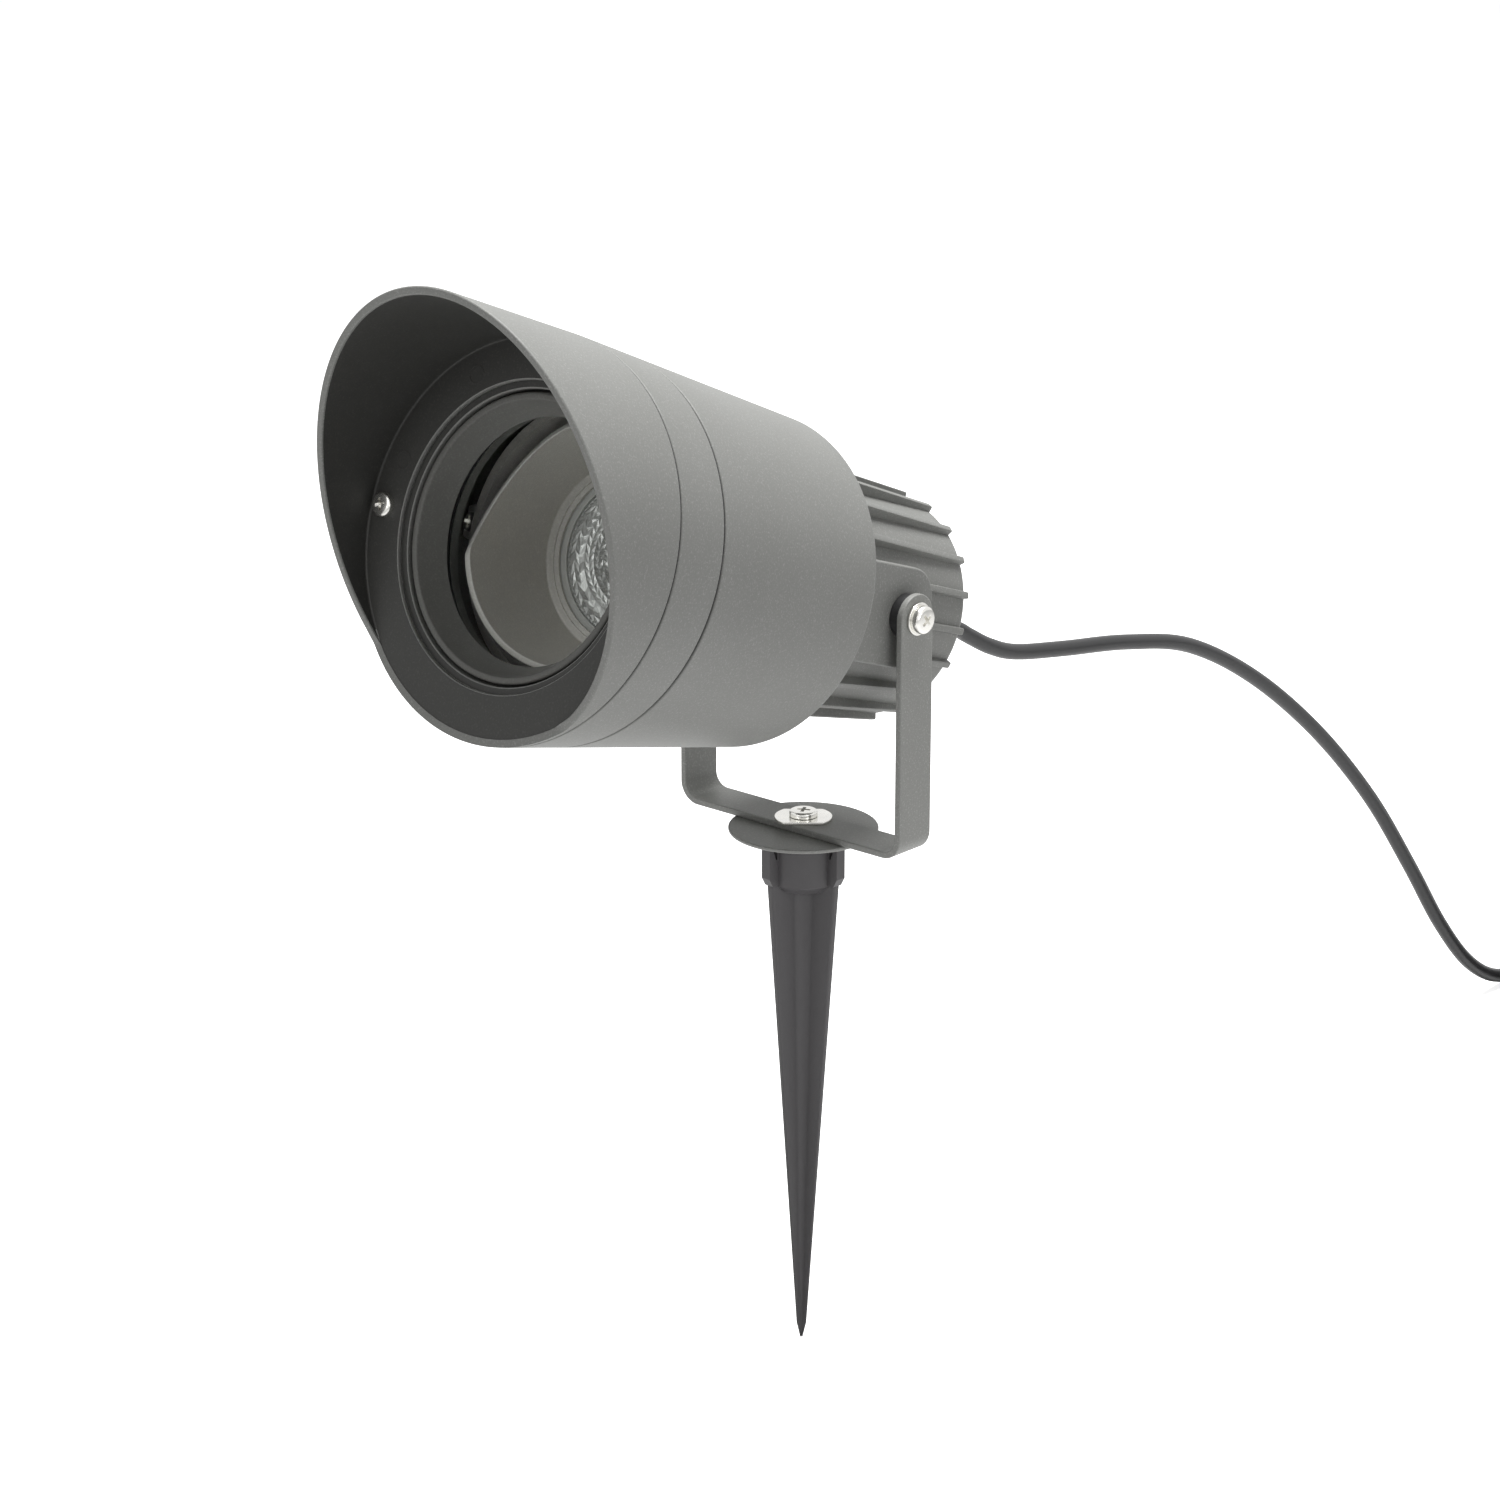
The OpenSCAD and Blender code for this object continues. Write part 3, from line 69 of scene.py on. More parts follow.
# The head's own frame is (across, up, ahead), with 0 ahead at the tilt pivot
PIVOT = Vector(JOINTS["tilt"]["pos_m"])
CUP_AXIS = Vector(JOINTS["lamp_cup_tilt"]["axis"])
CUP_PIVOT = Vector(JOINTS["lamp_cup_tilt"]["pos_m"])
HEAD_TILT = math.atan2(CUP_AXIS.y, CUP_AXIS.z)
IN_HEAD = (
    Matrix.Translation(PIVOT)
    @ Matrix.Rotation(-HEAD_TILT, 4, "X")
    @ Matrix.Rotation(math.pi / 2, 4, "X")
)
GROUND_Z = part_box("spike")[0].z
GLAND_DROP = 3 * MM
IN_GLAND = IN_HEAD @ Matrix.Translation((0, -GLAND_DROP, 0))


def size(name, millimetres, about):
    """A length that a user may change."""
    return FloatProperty(
        name=name, description=about, default=millimetres * MM, min=0.0, max=1.0, unit="LENGTH",
        subtype="DISTANCE", precision=5,
    )


def angle(name, degrees, about):
    """An angle that a user may change."""
    return FloatProperty(
        name=name, description=about, default=math.radians(degrees), subtype="ANGLE", unit="ROTATION"
    )


def share(name, default, about):
    """A share from 0 to 1 that a user may change."""
    return FloatProperty(name=name, description=about, default=default, min=0.0, max=1.0, subtype="FACTOR")


def colour(name, default, about):
    """A colour that a user may change."""
    return FloatVectorProperty(
        name=name, description=about, default=default, min=0.0, max=1.0, size=3, subtype="COLOR"
    )


class HeadSizes(bpy.types.PropertyGroup):
    """Sizes of the tube, the middle ring, the glare shield and what is inside them."""

    front_radius: size("Front radius", 54.5, "Outside radius of the main tube at its front seam")
    draft: angle("Draft", 5.2, "Draft of the tube and the middle ring")
    shield_draft: angle("Shield draft", 3.4, "Draft of the glare shield")
    rear_s: size("Rear face", 27.5, "Distance from the tilt pivot to the tube's rear face")
    tube_length: size("Tube length", 75.6, "Length of the main tube")
    wall: size("Wall", 2.6, "Wall of the main tube")
    lip: size("Rear lip", 2.6, "Thickness of the tube's rear lip")
    lip_radius: size("Rear opening", 40.7, "Radius of the opening in the tube's rear lip")
    ring_length: size("Ring length", 20.9, "Length of the middle ring between the two seams")
    seam: size("Seam", 0.7, "Width of each shadow seam")
    seam_depth: size("Seam depth", 1.3, "Depth of each shadow seam")
    shield_wall: size("Shield wall", 2.2, "Wall of the glare shield")
    flange: size("Flange", 1.6, "Thickness of the shield's flange")
    flange_hole_radius: size("Flange opening", 42.4, "Radius of the flange's opening")
    cut_reach: size("Cut reach", 22.5, "Where the slanted cut crosses the head's axis, from the seam")
    cut_angle: angle("Cut angle", 26.3, "Slant of the shield's cut")
    cut_turn: angle("Cut turn", 7, "Turn of the shield about the head's axis")
    screw_circle: size("Face screws", 49.2, "Radius of the circle that the face screws sit on")
    mark_diameter: size("Face marks", 5.4, "Diameter of the round marks on the flange")
    seat_radius: size("Glass seat", 40.2, "Radius of the glass seat in the middle ring")
    clamp_gap: size("Clamp gap", 0.8, "Width of the dark gap around the clamp ring")
    clamp_inner_radius: size("Clamp opening", 33.7, "Radius of the clamp ring's inner edge")


class RearSizes(bpy.types.PropertyGroup):
    """Sizes of the finned rear housing."""

    front_radius: size("Core radius", 34, "Radius of the core at the tube")
    end_radius: size("Core end radius", 32.4, "Radius of the core at its rear end")
    reach: size("Reach", 35.5, "Distance from the pivot back to the rear face")
    wall: size("Wall", 2.8, "Wall of the core")
    fins: IntProperty(name="Fins", description="Number of fins", default=20, min=8, max=40)
    fin: size("Fin thickness", 2, "Thickness of each fin")
    fin_front: size("Fin height", 4, "Height of the fins at the tube")
    fin_end: size("Fin end height", 1.8, "Height of the fins at their rear tips")
    fin_short: size("Fin setback", 1.8, "Distance that the fins stop short of the rear face")
    pad_reach: size("Pad reach", 37, "Half distance between the two flat side pads")
    pad_up: size("Pad above", 13.8, "Height of a pad above the pivot")
    pad_down: size("Pad below", 15.3, "Height of a pad below the pivot")
    pad_back: size("Pad behind", 12, "Length of a pad behind the pivot")
    pad_corner: size("Pad corner", 10, "Corner radius of a pad")


class LampSizes(bpy.types.PropertyGroup):
    """Sizes of the tilting cup and of the lamp in it."""

    turn: angle("Cup turn", 9, "Turn of the lamp cup about its upright pivot")
    rim_radius: size("Rim radius", 34.2, "Outside radius of the cup's rim")
    wall: size("Wall", 1.8, "Wall of the cup")
    rim_reach: size("Rim reach", 9.8, "Reach of the rim ahead of the cup's pivot")
    depth: size("Depth", 32, "Depth of the cup")
    floor_radius: size("Floor radius", 28, "Inside radius of the cup at its lip")
    facet_angle: angle("Facet slant", 42, "Slant of the two facets in the rim")
    facet_side: angle("Facet place", 59, "Angle from the top to the middle of each facet")
    lamp_radius: size("Lamp radius", 25, "Radius of the lamp")
    facets: IntProperty(
        name="Facets", description="Facets in a row of the lamp's optic", default=44, min=12, max=90
    )


class MountSizes(bpy.types.PropertyGroup):
    """Sizes of the yoke, its screws, the flange and the spike."""

    half_width: size("Yoke half width", 42.2, "Half width of the yoke over its legs")
    strip_width: size("Strip width", 14, "Width of the yoke strip")
    strip: size("Strip thickness", 2, "Thickness of the yoke strip")
    bend: size("Bend radius", 6.5, "Outside radius of the yoke's bends")
    washer_diameter: size("Pan washer", 17, "Length of the flat-sided washer")
    washer_width: size("Pan washer width", 12.6, "Width of the washer over its flats")
    flange_radius: size("Flange radius", 22.1, "Radius of the round flange under the yoke")
    flange: size("Flange thickness", 1.2, "Thickness of the round flange")
    spike_turn: angle("Spike turn", -4.3, "Turn of the spike about its axis")
    rib_span: size("Rib span", 14, "Half span of the spike's ribs at the top")
    tip_share: share("Tip share", 0.11, "Share of the top's span left at the tip")
    lug_span: size("Lug span", 15.5, "Half span of the lugs on the neck")
    lug: size("Lug thickness", 3.4, "Thickness of the lugs")
    lug_end: size("Lug end", 15.5, "Lower end of the lugs below the yoke strip")
    barrel_radius: size("Barrel radius", 12, "Radius of the spike's neck")
    barrel_end: size("Barrel end", 18.1, "Lower end of the neck below the yoke strip")


class CableSizes(bpy.types.PropertyGroup):
    """Sizes of the cable."""

    diameter: size("Diameter", 5, "Diameter of the cable")
    loops: FloatProperty(name="Loops", description="Loops in each layer of the coil", default=2.375)
    coil_radius: size("Coil radius", 37.2, "Radius of the coil's outer loop")
    pitch: size("Pitch", 6.2, "Spacing of the loops and of the layers")


class Finishes(bpy.types.PropertyGroup):
    """Colours of the spotlight's surfaces."""

    paint: colour("Paint", (0.215, 0.217, 0.207), "Powder coat of the head and the yoke")
    # Painted shade: a darker copy of the paint, laid where shade falls inside the glare shield and round the
    # glass.
    painted_shade: colour("Shade", (0.044, 0.044, 0.041), "Darker coat inside the glare shield")
    # The cup's own satin paint, made lighter as painted light to make up for the shade inside the head.
    cup_paint_and_light: colour("Inner paint", (0.68, 0.655, 0.62), "Satin paint of the lamp cup")
    spike: colour("Spike", (0.07, 0.067, 0.07), "Moulded plastic of the spike")
    steel: colour("Steel", (0.86, 0.85, 0.81), "Zinc plating of the screws")
    rubber: colour("Rubber", (0.02, 0.02, 0.021), "Sheath of the cable")
    floor: colour("Floor", (0.86, 0.86, 0.86), "Pale floor")


class SpotSettings(bpy.types.PropertyGroup):
    """All settings of the spotlight."""

    head: PointerProperty(type=HeadSizes)
    rear: PointerProperty(type=RearSizes)
    lamp: PointerProperty(type=LampSizes)
    mount: PointerProperty(type=MountSizes)
    cable: PointerProperty(type=CableSizes)
    finish: PointerProperty(type=Finishes)


def settings():
    """The scene's spotlight settings."""
    return bpy.context.scene.garden_spot


# Mesh tools

MERGE = 1e-6
SQUARE = ((-1, -1), (1, -1), (1, 1), (-1, 1))
BEVEL_FROM = math.radians(40)


def shown(name, data):
    """A new object that is linked to the scene."""
    thing = bpy.data.objects.new(name, data)
    bpy.context.scene.collection.objects.link(thing)
    return thing


def mesh_piece(name, points, faces, where=None):
    """A mesh object whose points are given in metres, in the frame that where leads from."""
    mesh = bpy.data.meshes.new(name)
    mesh.from_pydata([tuple(p) for p in points], [], faces)
    build = bmesh.new()
    build.from_mesh(mesh)
    bmesh.ops.remove_doubles(build, verts=build.verts, dist=MERGE)
    bmesh.ops.dissolve_degenerate(build, edges=build.edges, dist=MERGE)
    bmesh.ops.recalc_face_normals(build, faces=build.faces)
    build.to_mesh(mesh)
    build.free()
    if where is not None:
        mesh.transform(where)
    return shown(name, mesh)


def soften(piece, sharp=38, weighted=True):
    """Smooth shading that keeps real corners."""
    mesh = piece.data
    mesh.polygons.foreach_set("use_smooth", [True] * len(mesh.polygons))
    mesh.set_sharp_from_angle(angle=math.radians(sharp))
    if weighted:
        even = piece.modifiers.new("Even shading", "WEIGHTED_NORMAL")
        even.keep_sharp = True
    return piece


def bevelled(piece, width, steps=2):
    """Rounds the piece's edges with a bevel that is kept in the mesh."""
    bevel = piece.modifiers.new("Round edges", "BEVEL")
    bevel.width = width
    bevel.segments = steps
    bevel.limit_method = "ANGLE"
    bevel.angle_limit = BEVEL_FROM
    bevel.use_clamp_overlap = True
    return keep_shape(piece)


def keep_shape(piece):
    """Applies the piece's modifiers to its mesh."""
    bpy.context.view_layer.update()
    finished = piece.evaluated_get(bpy.context.evaluated_depsgraph_get())
    shaped = bpy.data.meshes.new_from_object(finished)
    piece.modifiers.clear()
    old = piece.data
    piece.data = shaped
    bpy.data.meshes.remove(old)
    return piece


def cut_away(piece, tool):
    """Cuts tool's shape out of the piece and removes the tool."""
    cut = piece.modifiers.new("Cut", "BOOLEAN")
    cut.operation = "DIFFERENCE"
    cut.solver = "EXACT"
    cut.object = tool
    keep_shape(piece)
    bpy.data.objects.remove(tool)
    return piece


def joined(pieces, name):
    """One piece made of several."""
    build = bmesh.new()
    for piece in pieces:
        build.from_mesh(piece.data)
    mesh = bpy.data.meshes.new(name)
    build.to_mesh(mesh)
    build.free()
    for piece in pieces:
        bpy.data.objects.remove(piece)
    return shown(name, mesh)


def rounded(outline, steps=4):
    """Points of a closed outline of (across, along) corners; a third value rounds a corner with an arc."""
    points = []
    for i, (x, y, *arc) in enumerate(outline):
        fillet = arc[0] if arc else 0.0
        corner = Vector((x, y))
        before = Vector(outline[i - 1][:2]) - corner
        after = Vector(outline[(i + 1) % len(outline)][:2]) - corner
        if fillet <= 0 or before.length == 0 or after.length == 0:
            points.append(corner)
            continue
        half = before.angle(after) / 2
        back = min(fillet / math.tan(half), 0.45 * before.length, 0.45 * after.length)
        radius = back * math.tan(half)
        centre = corner + (before.normalized() + after.normalized()).normalized() * radius / math.sin(half)
        start = corner + before.normalized() * back - centre
        end = corner + after.normalized() * back - centre
        sweep = start.angle_signed(end)
        for k in range(steps + 1):
            turn = Matrix.Rotation(-sweep * k / steps, 2)
            points.append(centre + turn @ start)
    return points


def even_section(outline, steps=4):
    """Like rounded, but a corner without a fillet gets as many points as one that has it."""
    points = []
    for i, (x, y, *arc) in enumerate(outline):
        before, after = outline[i - 1][:2], outline[(i + 1) % len(outline)][:2]
        bend = rounded([before, (x, y, max([1e-7, *arc])), after], steps)[1:-1]
        points += [tuple(p) for p in bend]
    return points


def ring_faces(rows, count):
    """The faces between rows that have count points each."""
    return [
        (i * count + k, i * count + (k + 1) % count, (i + 1) * count + (k + 1) % count, (i + 1) * count + k)
        for i in range(rows - 1) for k in range(count)
    ]


def around(name, section_at, where, turns=192):
    """A closed form made of sections (radius, ahead) about an axis; section_at(angle) gives each one.

    The angle runs from up towards across, so a point is (radius sin, radius cos, ahead)."""
    points = []
    for i in range(turns):
        turn = math.tau * i / turns
        section = section_at(turn)
        points += [(r * math.sin(turn), r * math.cos(turn), s) for r, s in section]
    faces = [tuple(p % len(points) for p in face) for face in ring_faces(turns + 1, len(section))]
    return mesh_piece(name, points, faces, where)


def band(inner, outer, back, front, soft=0.0):
    """Outline of a plain ring between two radii and two places, with its outer edges rounded."""
    return [(inner, back), (outer, back, soft), (outer, front, soft), (inner, front)]


def spun(degrees, place=(0, 0, 0)):
    """A place with a turn about its own Z axis."""
    return Matrix.Translation(place) @ Matrix.Rotation(math.radians(degrees), 4, "Z")


def turned(name, outline, where, turns=192, steps=4):
    """A turned piece from its outline of (radius, ahead) corners, each with its fillet if it has one."""
    points = [tuple(p) for p in rounded(outline, steps)]
    return around(name, lambda turn: points, where, turns)


def slab(name, outline, thickness, where, steps=4):
    """A flat piece: an outline of corners, as thick as given, centred on z = 0."""
    flat = [tuple(p) for p in rounded(outline, steps)]
    count = len(flat)
    points = [(x, y, -thickness / 2) for x, y in flat] + [(x, y, thickness / 2) for x, y in flat]
    faces = [tuple(range(count))[::-1], tuple(range(count, 2 * count))]
    faces += [(k, (k + 1) % count, count + (k + 1) % count, count + k) for k in range(count)]
    return mesh_piece(name, points, faces, where)


def dressed(piece, body, material, *nodes, slot=None):
    """The piece gets its material, rides on its body and stands for the CAD nodes named."""
    piece.data.materials.clear()
    piece.data.materials.append(finish_of(material))
    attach(piece, body)
    if nodes:
        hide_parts(*nodes)
    return piece


# Materials

WHITE = (1.0, 1.0, 1.0, 1.0)


def preset(node, **values):
    """The node with these inputs set; an underscore stands for a space in an input's name."""
    for name, value in values.items():
        node.inputs[name.replace("_", " ")].default_value = value
    return node


def new_material(name, **values):
    """A material and its Principled shader, with the inputs set: (material, nodes, links, shader)."""
    material = bpy.data.materials.new(name)
    material.use_nodes = True
    nodes, links = material.node_tree.nodes, material.node_tree.links
    return material, nodes, links, preset(nodes["Principled BSDF"], **values)


def object_noise(nodes, links, scale, detail=2.0, stretch=None):
    """A noise texture in the object's own metres; scale is in cells per metre."""
    place = nodes.new("ShaderNodeTexCoord")
    noise = preset(nodes.new("ShaderNodeTexNoise"), Scale=scale, Detail=detail)
    source = place.outputs["Object"]
    if stretch:
        mapping = preset(nodes.new("ShaderNodeMapping"), Scale=stretch)
        links.new(source, mapping.inputs["Vector"])
        source = mapping.outputs["Vector"]
    links.new(source, noise.inputs["Vector"])
    return noise


def ramp(nodes, links, source, stops):
    """A colour ramp from (place, colour) stops."""
    ramp_node = nodes.new("ShaderNodeValToRGB")
    while len(ramp_node.color_ramp.elements) < len(stops):
        ramp_node.color_ramp.elements.new(0.5)
    for element, (place, tone) in zip(ramp_node.color_ramp.elements, stops):
        element.position = place
        element.color = (*tone, 1.0)
    links.new(source, ramp_node.inputs["Fac"])
    return ramp_node


def scaled(tone, factor):
    """The colour, lighter or darker."""
    return tuple(min(1.0, c * factor) for c in tone)


def tinted(nodes, links, cloud, stops, shader):
    """The shader's colour follows the noise through the stops."""
    tone = ramp(nodes, links, cloud.outputs["Fac"], stops)
    links.new(tone.outputs["Color"], shader.inputs["Base Color"])


def gloss_from(nodes, links, cloud, low, high, shader):
    """The shader's roughness follows the noise from low to high."""
    gloss = preset(nodes.new("ShaderNodeMapRange"), To_Min=low, To_Max=high)
    links.new(cloud.outputs["Fac"], gloss.inputs["Value"])
    links.new(gloss.outputs["Result"], shader.inputs["Roughness"])


def bump_from(nodes, links, source, strength, distance, shader):
    """Fine relief from the noise; distance is in metres."""
    bump = preset(nodes.new("ShaderNodeBump"), Strength=strength, Distance=distance)
    links.new(source, bump.inputs["Height"])
    links.new(bump.outputs["Normal"], shader.inputs["Normal"])


def powder_coat(name, tone, roughness=0.5, metallic=0.05, grain=1900, fleck=0.16):
    """Fine textured powder coat with small metallic flecks."""
    material, nodes, links, shader = new_material(
        name, Roughness=roughness, Metallic=metallic, Specular_IOR_Level=0.35
    )
    flecks = object_noise(nodes, links, grain, detail=1.0)
    dark, light = scaled(tone, 1 - fleck * 0.55), scaled(tone, 1 + fleck * 1.6)
    stops = [(0.0, dark), (0.42, scaled(tone, 0.94)), (0.6, tone), (0.72, light)]
    spots = ramp(nodes, links, flecks.outputs["Fac"], stops)
    cloud = object_noise(nodes, links, 22, detail=3.0)
    drift = ramp(nodes, links, cloud.outputs["Fac"], [(0.3, (0.94, 0.94, 0.935)), (0.7, (1.0, 1.0, 1.0))])
    mix = nodes.new("ShaderNodeMix")
    mix.data_type = "RGBA"
    mix.blend_type = "MULTIPLY"
    preset(mix, Factor=1.0)
    links.new(spots.outputs["Color"], mix.inputs[6])
    links.new(drift.outputs["Color"], mix.inputs[7])
    links.new(mix.outputs[2], shader.inputs["Base Color"])
    orange_peel = object_noise(nodes, links, grain * 0.6, detail=2.0)
    bump_from(nodes, links, orange_peel.outputs["Fac"], 0.22, 0.00008, shader)
    return material


def moulded_plastic(name, tone, roughness=0.45, grain=1500, strength=0.25, streak=None):
    """Moulded plastic with a fine grain and slightly uneven gloss."""
    material, nodes, links, shader = new_material(name, Specular_IOR_Level=0.45)
    cloud = object_noise(nodes, links, 40, detail=4.0, stretch=streak)
    tinted(nodes, links, cloud, [(0.3, scaled(tone, 0.88)), (0.7, scaled(tone, 1.12))], shader)
    gloss_from(nodes, links, cloud, roughness - 0.06, roughness + 0.08, shader)
    fine = object_noise(nodes, links, grain, detail=2.0)
    bump_from(nodes, links, fine.outputs["Fac"], strength, 0.00006, shader)
    return material


def plated_metal(name, tone, roughness=0.25, grain=900, metal=1.0):
    """Bright plated metal with faint wear in its gloss."""
    material, nodes, links, shader = new_material(name, Metallic=metal)
    cloud = object_noise(nodes, links, grain, detail=3.0)
    tinted(nodes, links, cloud, [(0.3, scaled(tone, 0.9)), (0.75, tone)], shader)
    gloss_from(nodes, links, cloud, roughness - 0.05, roughness + 0.1, shader)
    return material


def clear_pane(name):
    """Thin clear glass that lets the lamps' light through."""
    material, nodes, links, shader = new_material(name, Base_Color=WHITE, Roughness=0.02, Metallic=1.0)
    through = preset(nodes.new("ShaderNodeBsdfTransparent"), Color=(0.97, 0.98, 0.975, 1.0))
    rim = preset(nodes.new("ShaderNodeFresnel"), IOR=1.12)
    mix = nodes.new("ShaderNodeMixShader")
    links.new(rim.outputs["Fac"], mix.inputs["Fac"])
    links.new(through.outputs["BSDF"], mix.inputs[1])
    links.new(shader.outputs["BSDF"], mix.inputs[2])
    links.new(mix.outputs["Shader"], nodes["Material Output"].inputs["Surface"])
    return material


def lamp_glow(name):
    """Warm phosphor of the unlit light emitter."""
    material, nodes, links, shader = new_material(name, Roughness=0.5)
    cloud = object_noise(nodes, links, 500, detail=2.0)
    tinted(nodes, links, cloud, [(0.3, (0.78, 0.55, 0.24)), (0.7, (0.9, 0.68, 0.36))], shader)
    return material


MATERIALS = {}
FINISHES = {
    "paint": lambda tone: powder_coat("dark powder coat", tuple(tone.paint)),
    # The yoke's coat: the head's powder coat made 1.2 times lighter, as painted light for its brightly lit top.
    "yoke": lambda tone: powder_coat("yoke powder coat", scaled(tuple(tone.paint), 1.2), 0.46),
    # Painted shade: the powder coat made dark where shade falls inside the glare shield.
    "painted_shade": lambda tone: powder_coat("dark lining coat", tuple(tone.painted_shade), 0.5, 0.1, fleck=0.2),
    "clamp": lambda tone: powder_coat("clamp ring coat", scaled(tuple(tone.painted_shade), 2.8), 0.5, fleck=0.1),
    # The cup's own satin paint, made lighter as painted light to make up for the shade inside the head.
    "cup": lambda tone: powder_coat("satin cup paint", tuple(tone.cup_paint_and_light), 0.42, 0.1, fleck=0.06),
    "spike": lambda tone: moulded_plastic(
        "grained spike plastic", tuple(tone.spike), 0.42, 1300, 0.35, streak=(1.0, 1.0, 0.15)
    ),
    "nylon": lambda tone: moulded_plastic("black nylon", (0.022, 0.022, 0.023), 0.4),
    "rubber": lambda tone: moulded_plastic("cable rubber", tuple(tone.rubber), 0.36, 2500, 0.12),
    # Gasket rubber; its colour also paints the shade at the bottom of the seams.
    "gasket": lambda tone: moulded_plastic("gasket rubber", (0.02, 0.02, 0.02), 0.7),
    "white": lambda tone: moulded_plastic("white ceramic", (0.74, 0.73, 0.7), 0.35, 900, 0.1),
    "lamp": lambda tone: moulded_plastic("lamp shell", (0.58, 0.58, 0.56), 0.33, 1200, 0.06),
    "wire": lambda tone: moulded_plastic("wire insulation", (0.3, 0.16, 0.08), 0.35),
    "steel": lambda tone: plated_metal("zinc plated steel", tuple(tone.steel), 0.2, 120),
    "brass": lambda tone: plated_metal("nickel plated brass", (0.72, 0.69, 0.62), 0.2),
    "optic": lambda tone: plated_metal("faceted optic", (0.5, 0.5, 0.49), 0.3, 400, 0.4),
    "glass": lambda tone: clear_pane("clear glass"),
    "glow": lambda tone: lamp_glow("warm phosphor"),
}


def finish_of(name):
    """The finish with this name, made on its first use."""
    if name not in MATERIALS:
        MATERIALS[name] = FINISHES[name](settings().finish)
    return MATERIALS[name]


SLOT_FINISH = {
    "spike_plastic": "spike", "dark_paint": "paint", "yoke_paint": "yoke", "steel": "steel",
    "black_rubber": "gasket", "clear_glass": "glass", "inner_aluminium": "cup", "black_nylon": "nylon",
    "white_plastic": "white", "lamp_shell": "lamp", "lamp_lens": "optic", "led_yellow": "glow",
    "plated_brass": "brass", "wire_insulation": "wire", "cable_rubber": "rubber",
}


# Shapes of the head

GLASS_DEPTH = 9 * MM
GLASS_THICKNESS = 3 * MM


def head_radius(ahead):
    """Outside radius of the head's cone at a distance ahead of the pivot."""
    head = settings().head
    return head.front_radius + math.tan(head.draft) * (ahead - head.rear_s - head.tube_length)


def seams():
    """Places of the two seams, ahead of the pivot."""
    head = settings().head
    second = head.rear_s + head.tube_length
    return second, second + head.ring_length


def make_tube():
    """The main tube with its rear lip."""
    head = settings().head
    seam2, _ = seams()
    lip_s = head.rear_s + head.lip
    inner = lambda s: head_radius(s) - head.wall
    outline = [
        (head.lip_radius, head.rear_s, 0.5 * MM), (head_radius(head.rear_s), head.rear_s, 2 * MM),
        (head_radius(seam2), seam2 - 0.15 * MM, 0.5 * MM), (inner(seam2), seam2 - 0.15 * MM),
        (inner(lip_s), lip_s), (head.lip_radius, lip_s, 0.3 * MM),
    ]
    return soften(turned("tube_shell", outline, IN_HEAD, 256))


def make_middle_ring():
    """The ring between the two seams, with the glass seat and its spigot."""
    head = settings().head
    seam2, seam1 = seams()
    deep = head.seam_depth
    plate_s = seam1 - 5.5 * MM
    web_s, back_r = seam2 + 2.6 * MM, head_radius(seam2) - deep
    seat, ledge_s = head.seat_radius, seam1 - 13 * MM
    spigot_out = head_radius(seam2) - head.wall - 0.23 * MM
    spigot_in = spigot_out - 2.6 * MM
    outline = [
        (back_r, seam2 - 1 * MM), (back_r, seam2 + head.seam),
        (head_radius(seam2 + head.seam), seam2 + head.seam, 0.45 * MM),
        (head_radius(seam1 - head.seam), seam1 - head.seam, 0.45 * MM),
        (head_radius(seam1) - deep, seam1 - head.seam), (head_radius(seam1) - deep, seam1),
        (seat, seam1, 0.35 * MM), (seat, ledge_s), (seat - 3.8 * MM, ledge_s),
        (seat - 3.8 * MM, ledge_s - 3 * MM), (seat + 2.8 * MM, ledge_s - 3 * MM),
        (seat + 2.8 * MM, plate_s), (head_radius(plate_s) - 3.9 * MM, plate_s),
        (back_r - 2.6 * MM, web_s), (spigot_in, web_s), (spigot_in, seam2 - 8 * MM),
        (spigot_out, seam2 - 8 * MM), (spigot_out, seam2 - 1 * MM),
    ]
    return soften(turned("middle_ring", outline, IN_HEAD, 256))


def shield_radius(ahead):
    """Outside radius of the glare shield's cone."""
    _, seam1 = seams()
    return head_radius(seam1) + math.tan(settings().head.shield_draft) * (ahead - seam1)


def shield_tip(turn, inset):
    """Where the slanted cut ends the shield's wall, on a cone that lies inset inside its outside."""
    head = settings().head
    _, seam1 = seams()
    lean = math.tan(head.cut_angle) * math.cos(turn - head.cut_turn)
    slope = math.tan(head.shield_draft)
    reach = (head.cut_reach + lean * (head_radius(seam1) - inset)) / (1 - slope * lean)
    return max(seam1 + reach, seam1 + head.flange + 0.01 * MM)


def make_seam_shadows():
    """A dark band at the bottom of each seam, as painted shade in the groove."""
    seam, play = settings().head.seam, 0.04 * MM
    rings = []
    for start in (seams()[0], seams()[1] - seam):
        bottom = head_radius(start) - settings().head.seam_depth
        outline = band(bottom - 0.2 * MM, bottom + 0.9 * MM, start + play, start + seam - play)
        rings.append(turned("seam_band", outline, IN_HEAD, 256))
    return soften(joined(rings, "seam_shadows"))


def make_shield():
    """The glare shield: a flange and a wall that a slanted plane cuts, with a rounded rim."""
    head = settings().head
    _, seam1 = seams()
    face = seam1 + head.flange
    hole = head.flange_hole_radius
    rim_round = 0.55 * MM

    def section(turn):
        out, inn = shield_tip(turn, 0), shield_tip(turn, head.shield_wall)
        soft = min(rim_round, (out - face) * 0.4)
        foot = min(0.6 * MM, (inn - face) * 0.4)
        outline = [
            (hole + 0.5 * MM, seam1), (shield_radius(seam1), seam1, 0.35 * MM),
            (shield_radius(out), out, soft), (shield_radius(inn) - head.shield_wall, inn, soft),
            (shield_radius(face) - head.shield_wall, face, foot), (hole, face, 0.35 * MM),
            (hole, seam1 + 0.5 * MM),
        ]
        return even_section(outline)

    return soften(around("glare_shield_skin", section, IN_HEAD, 360), 32)


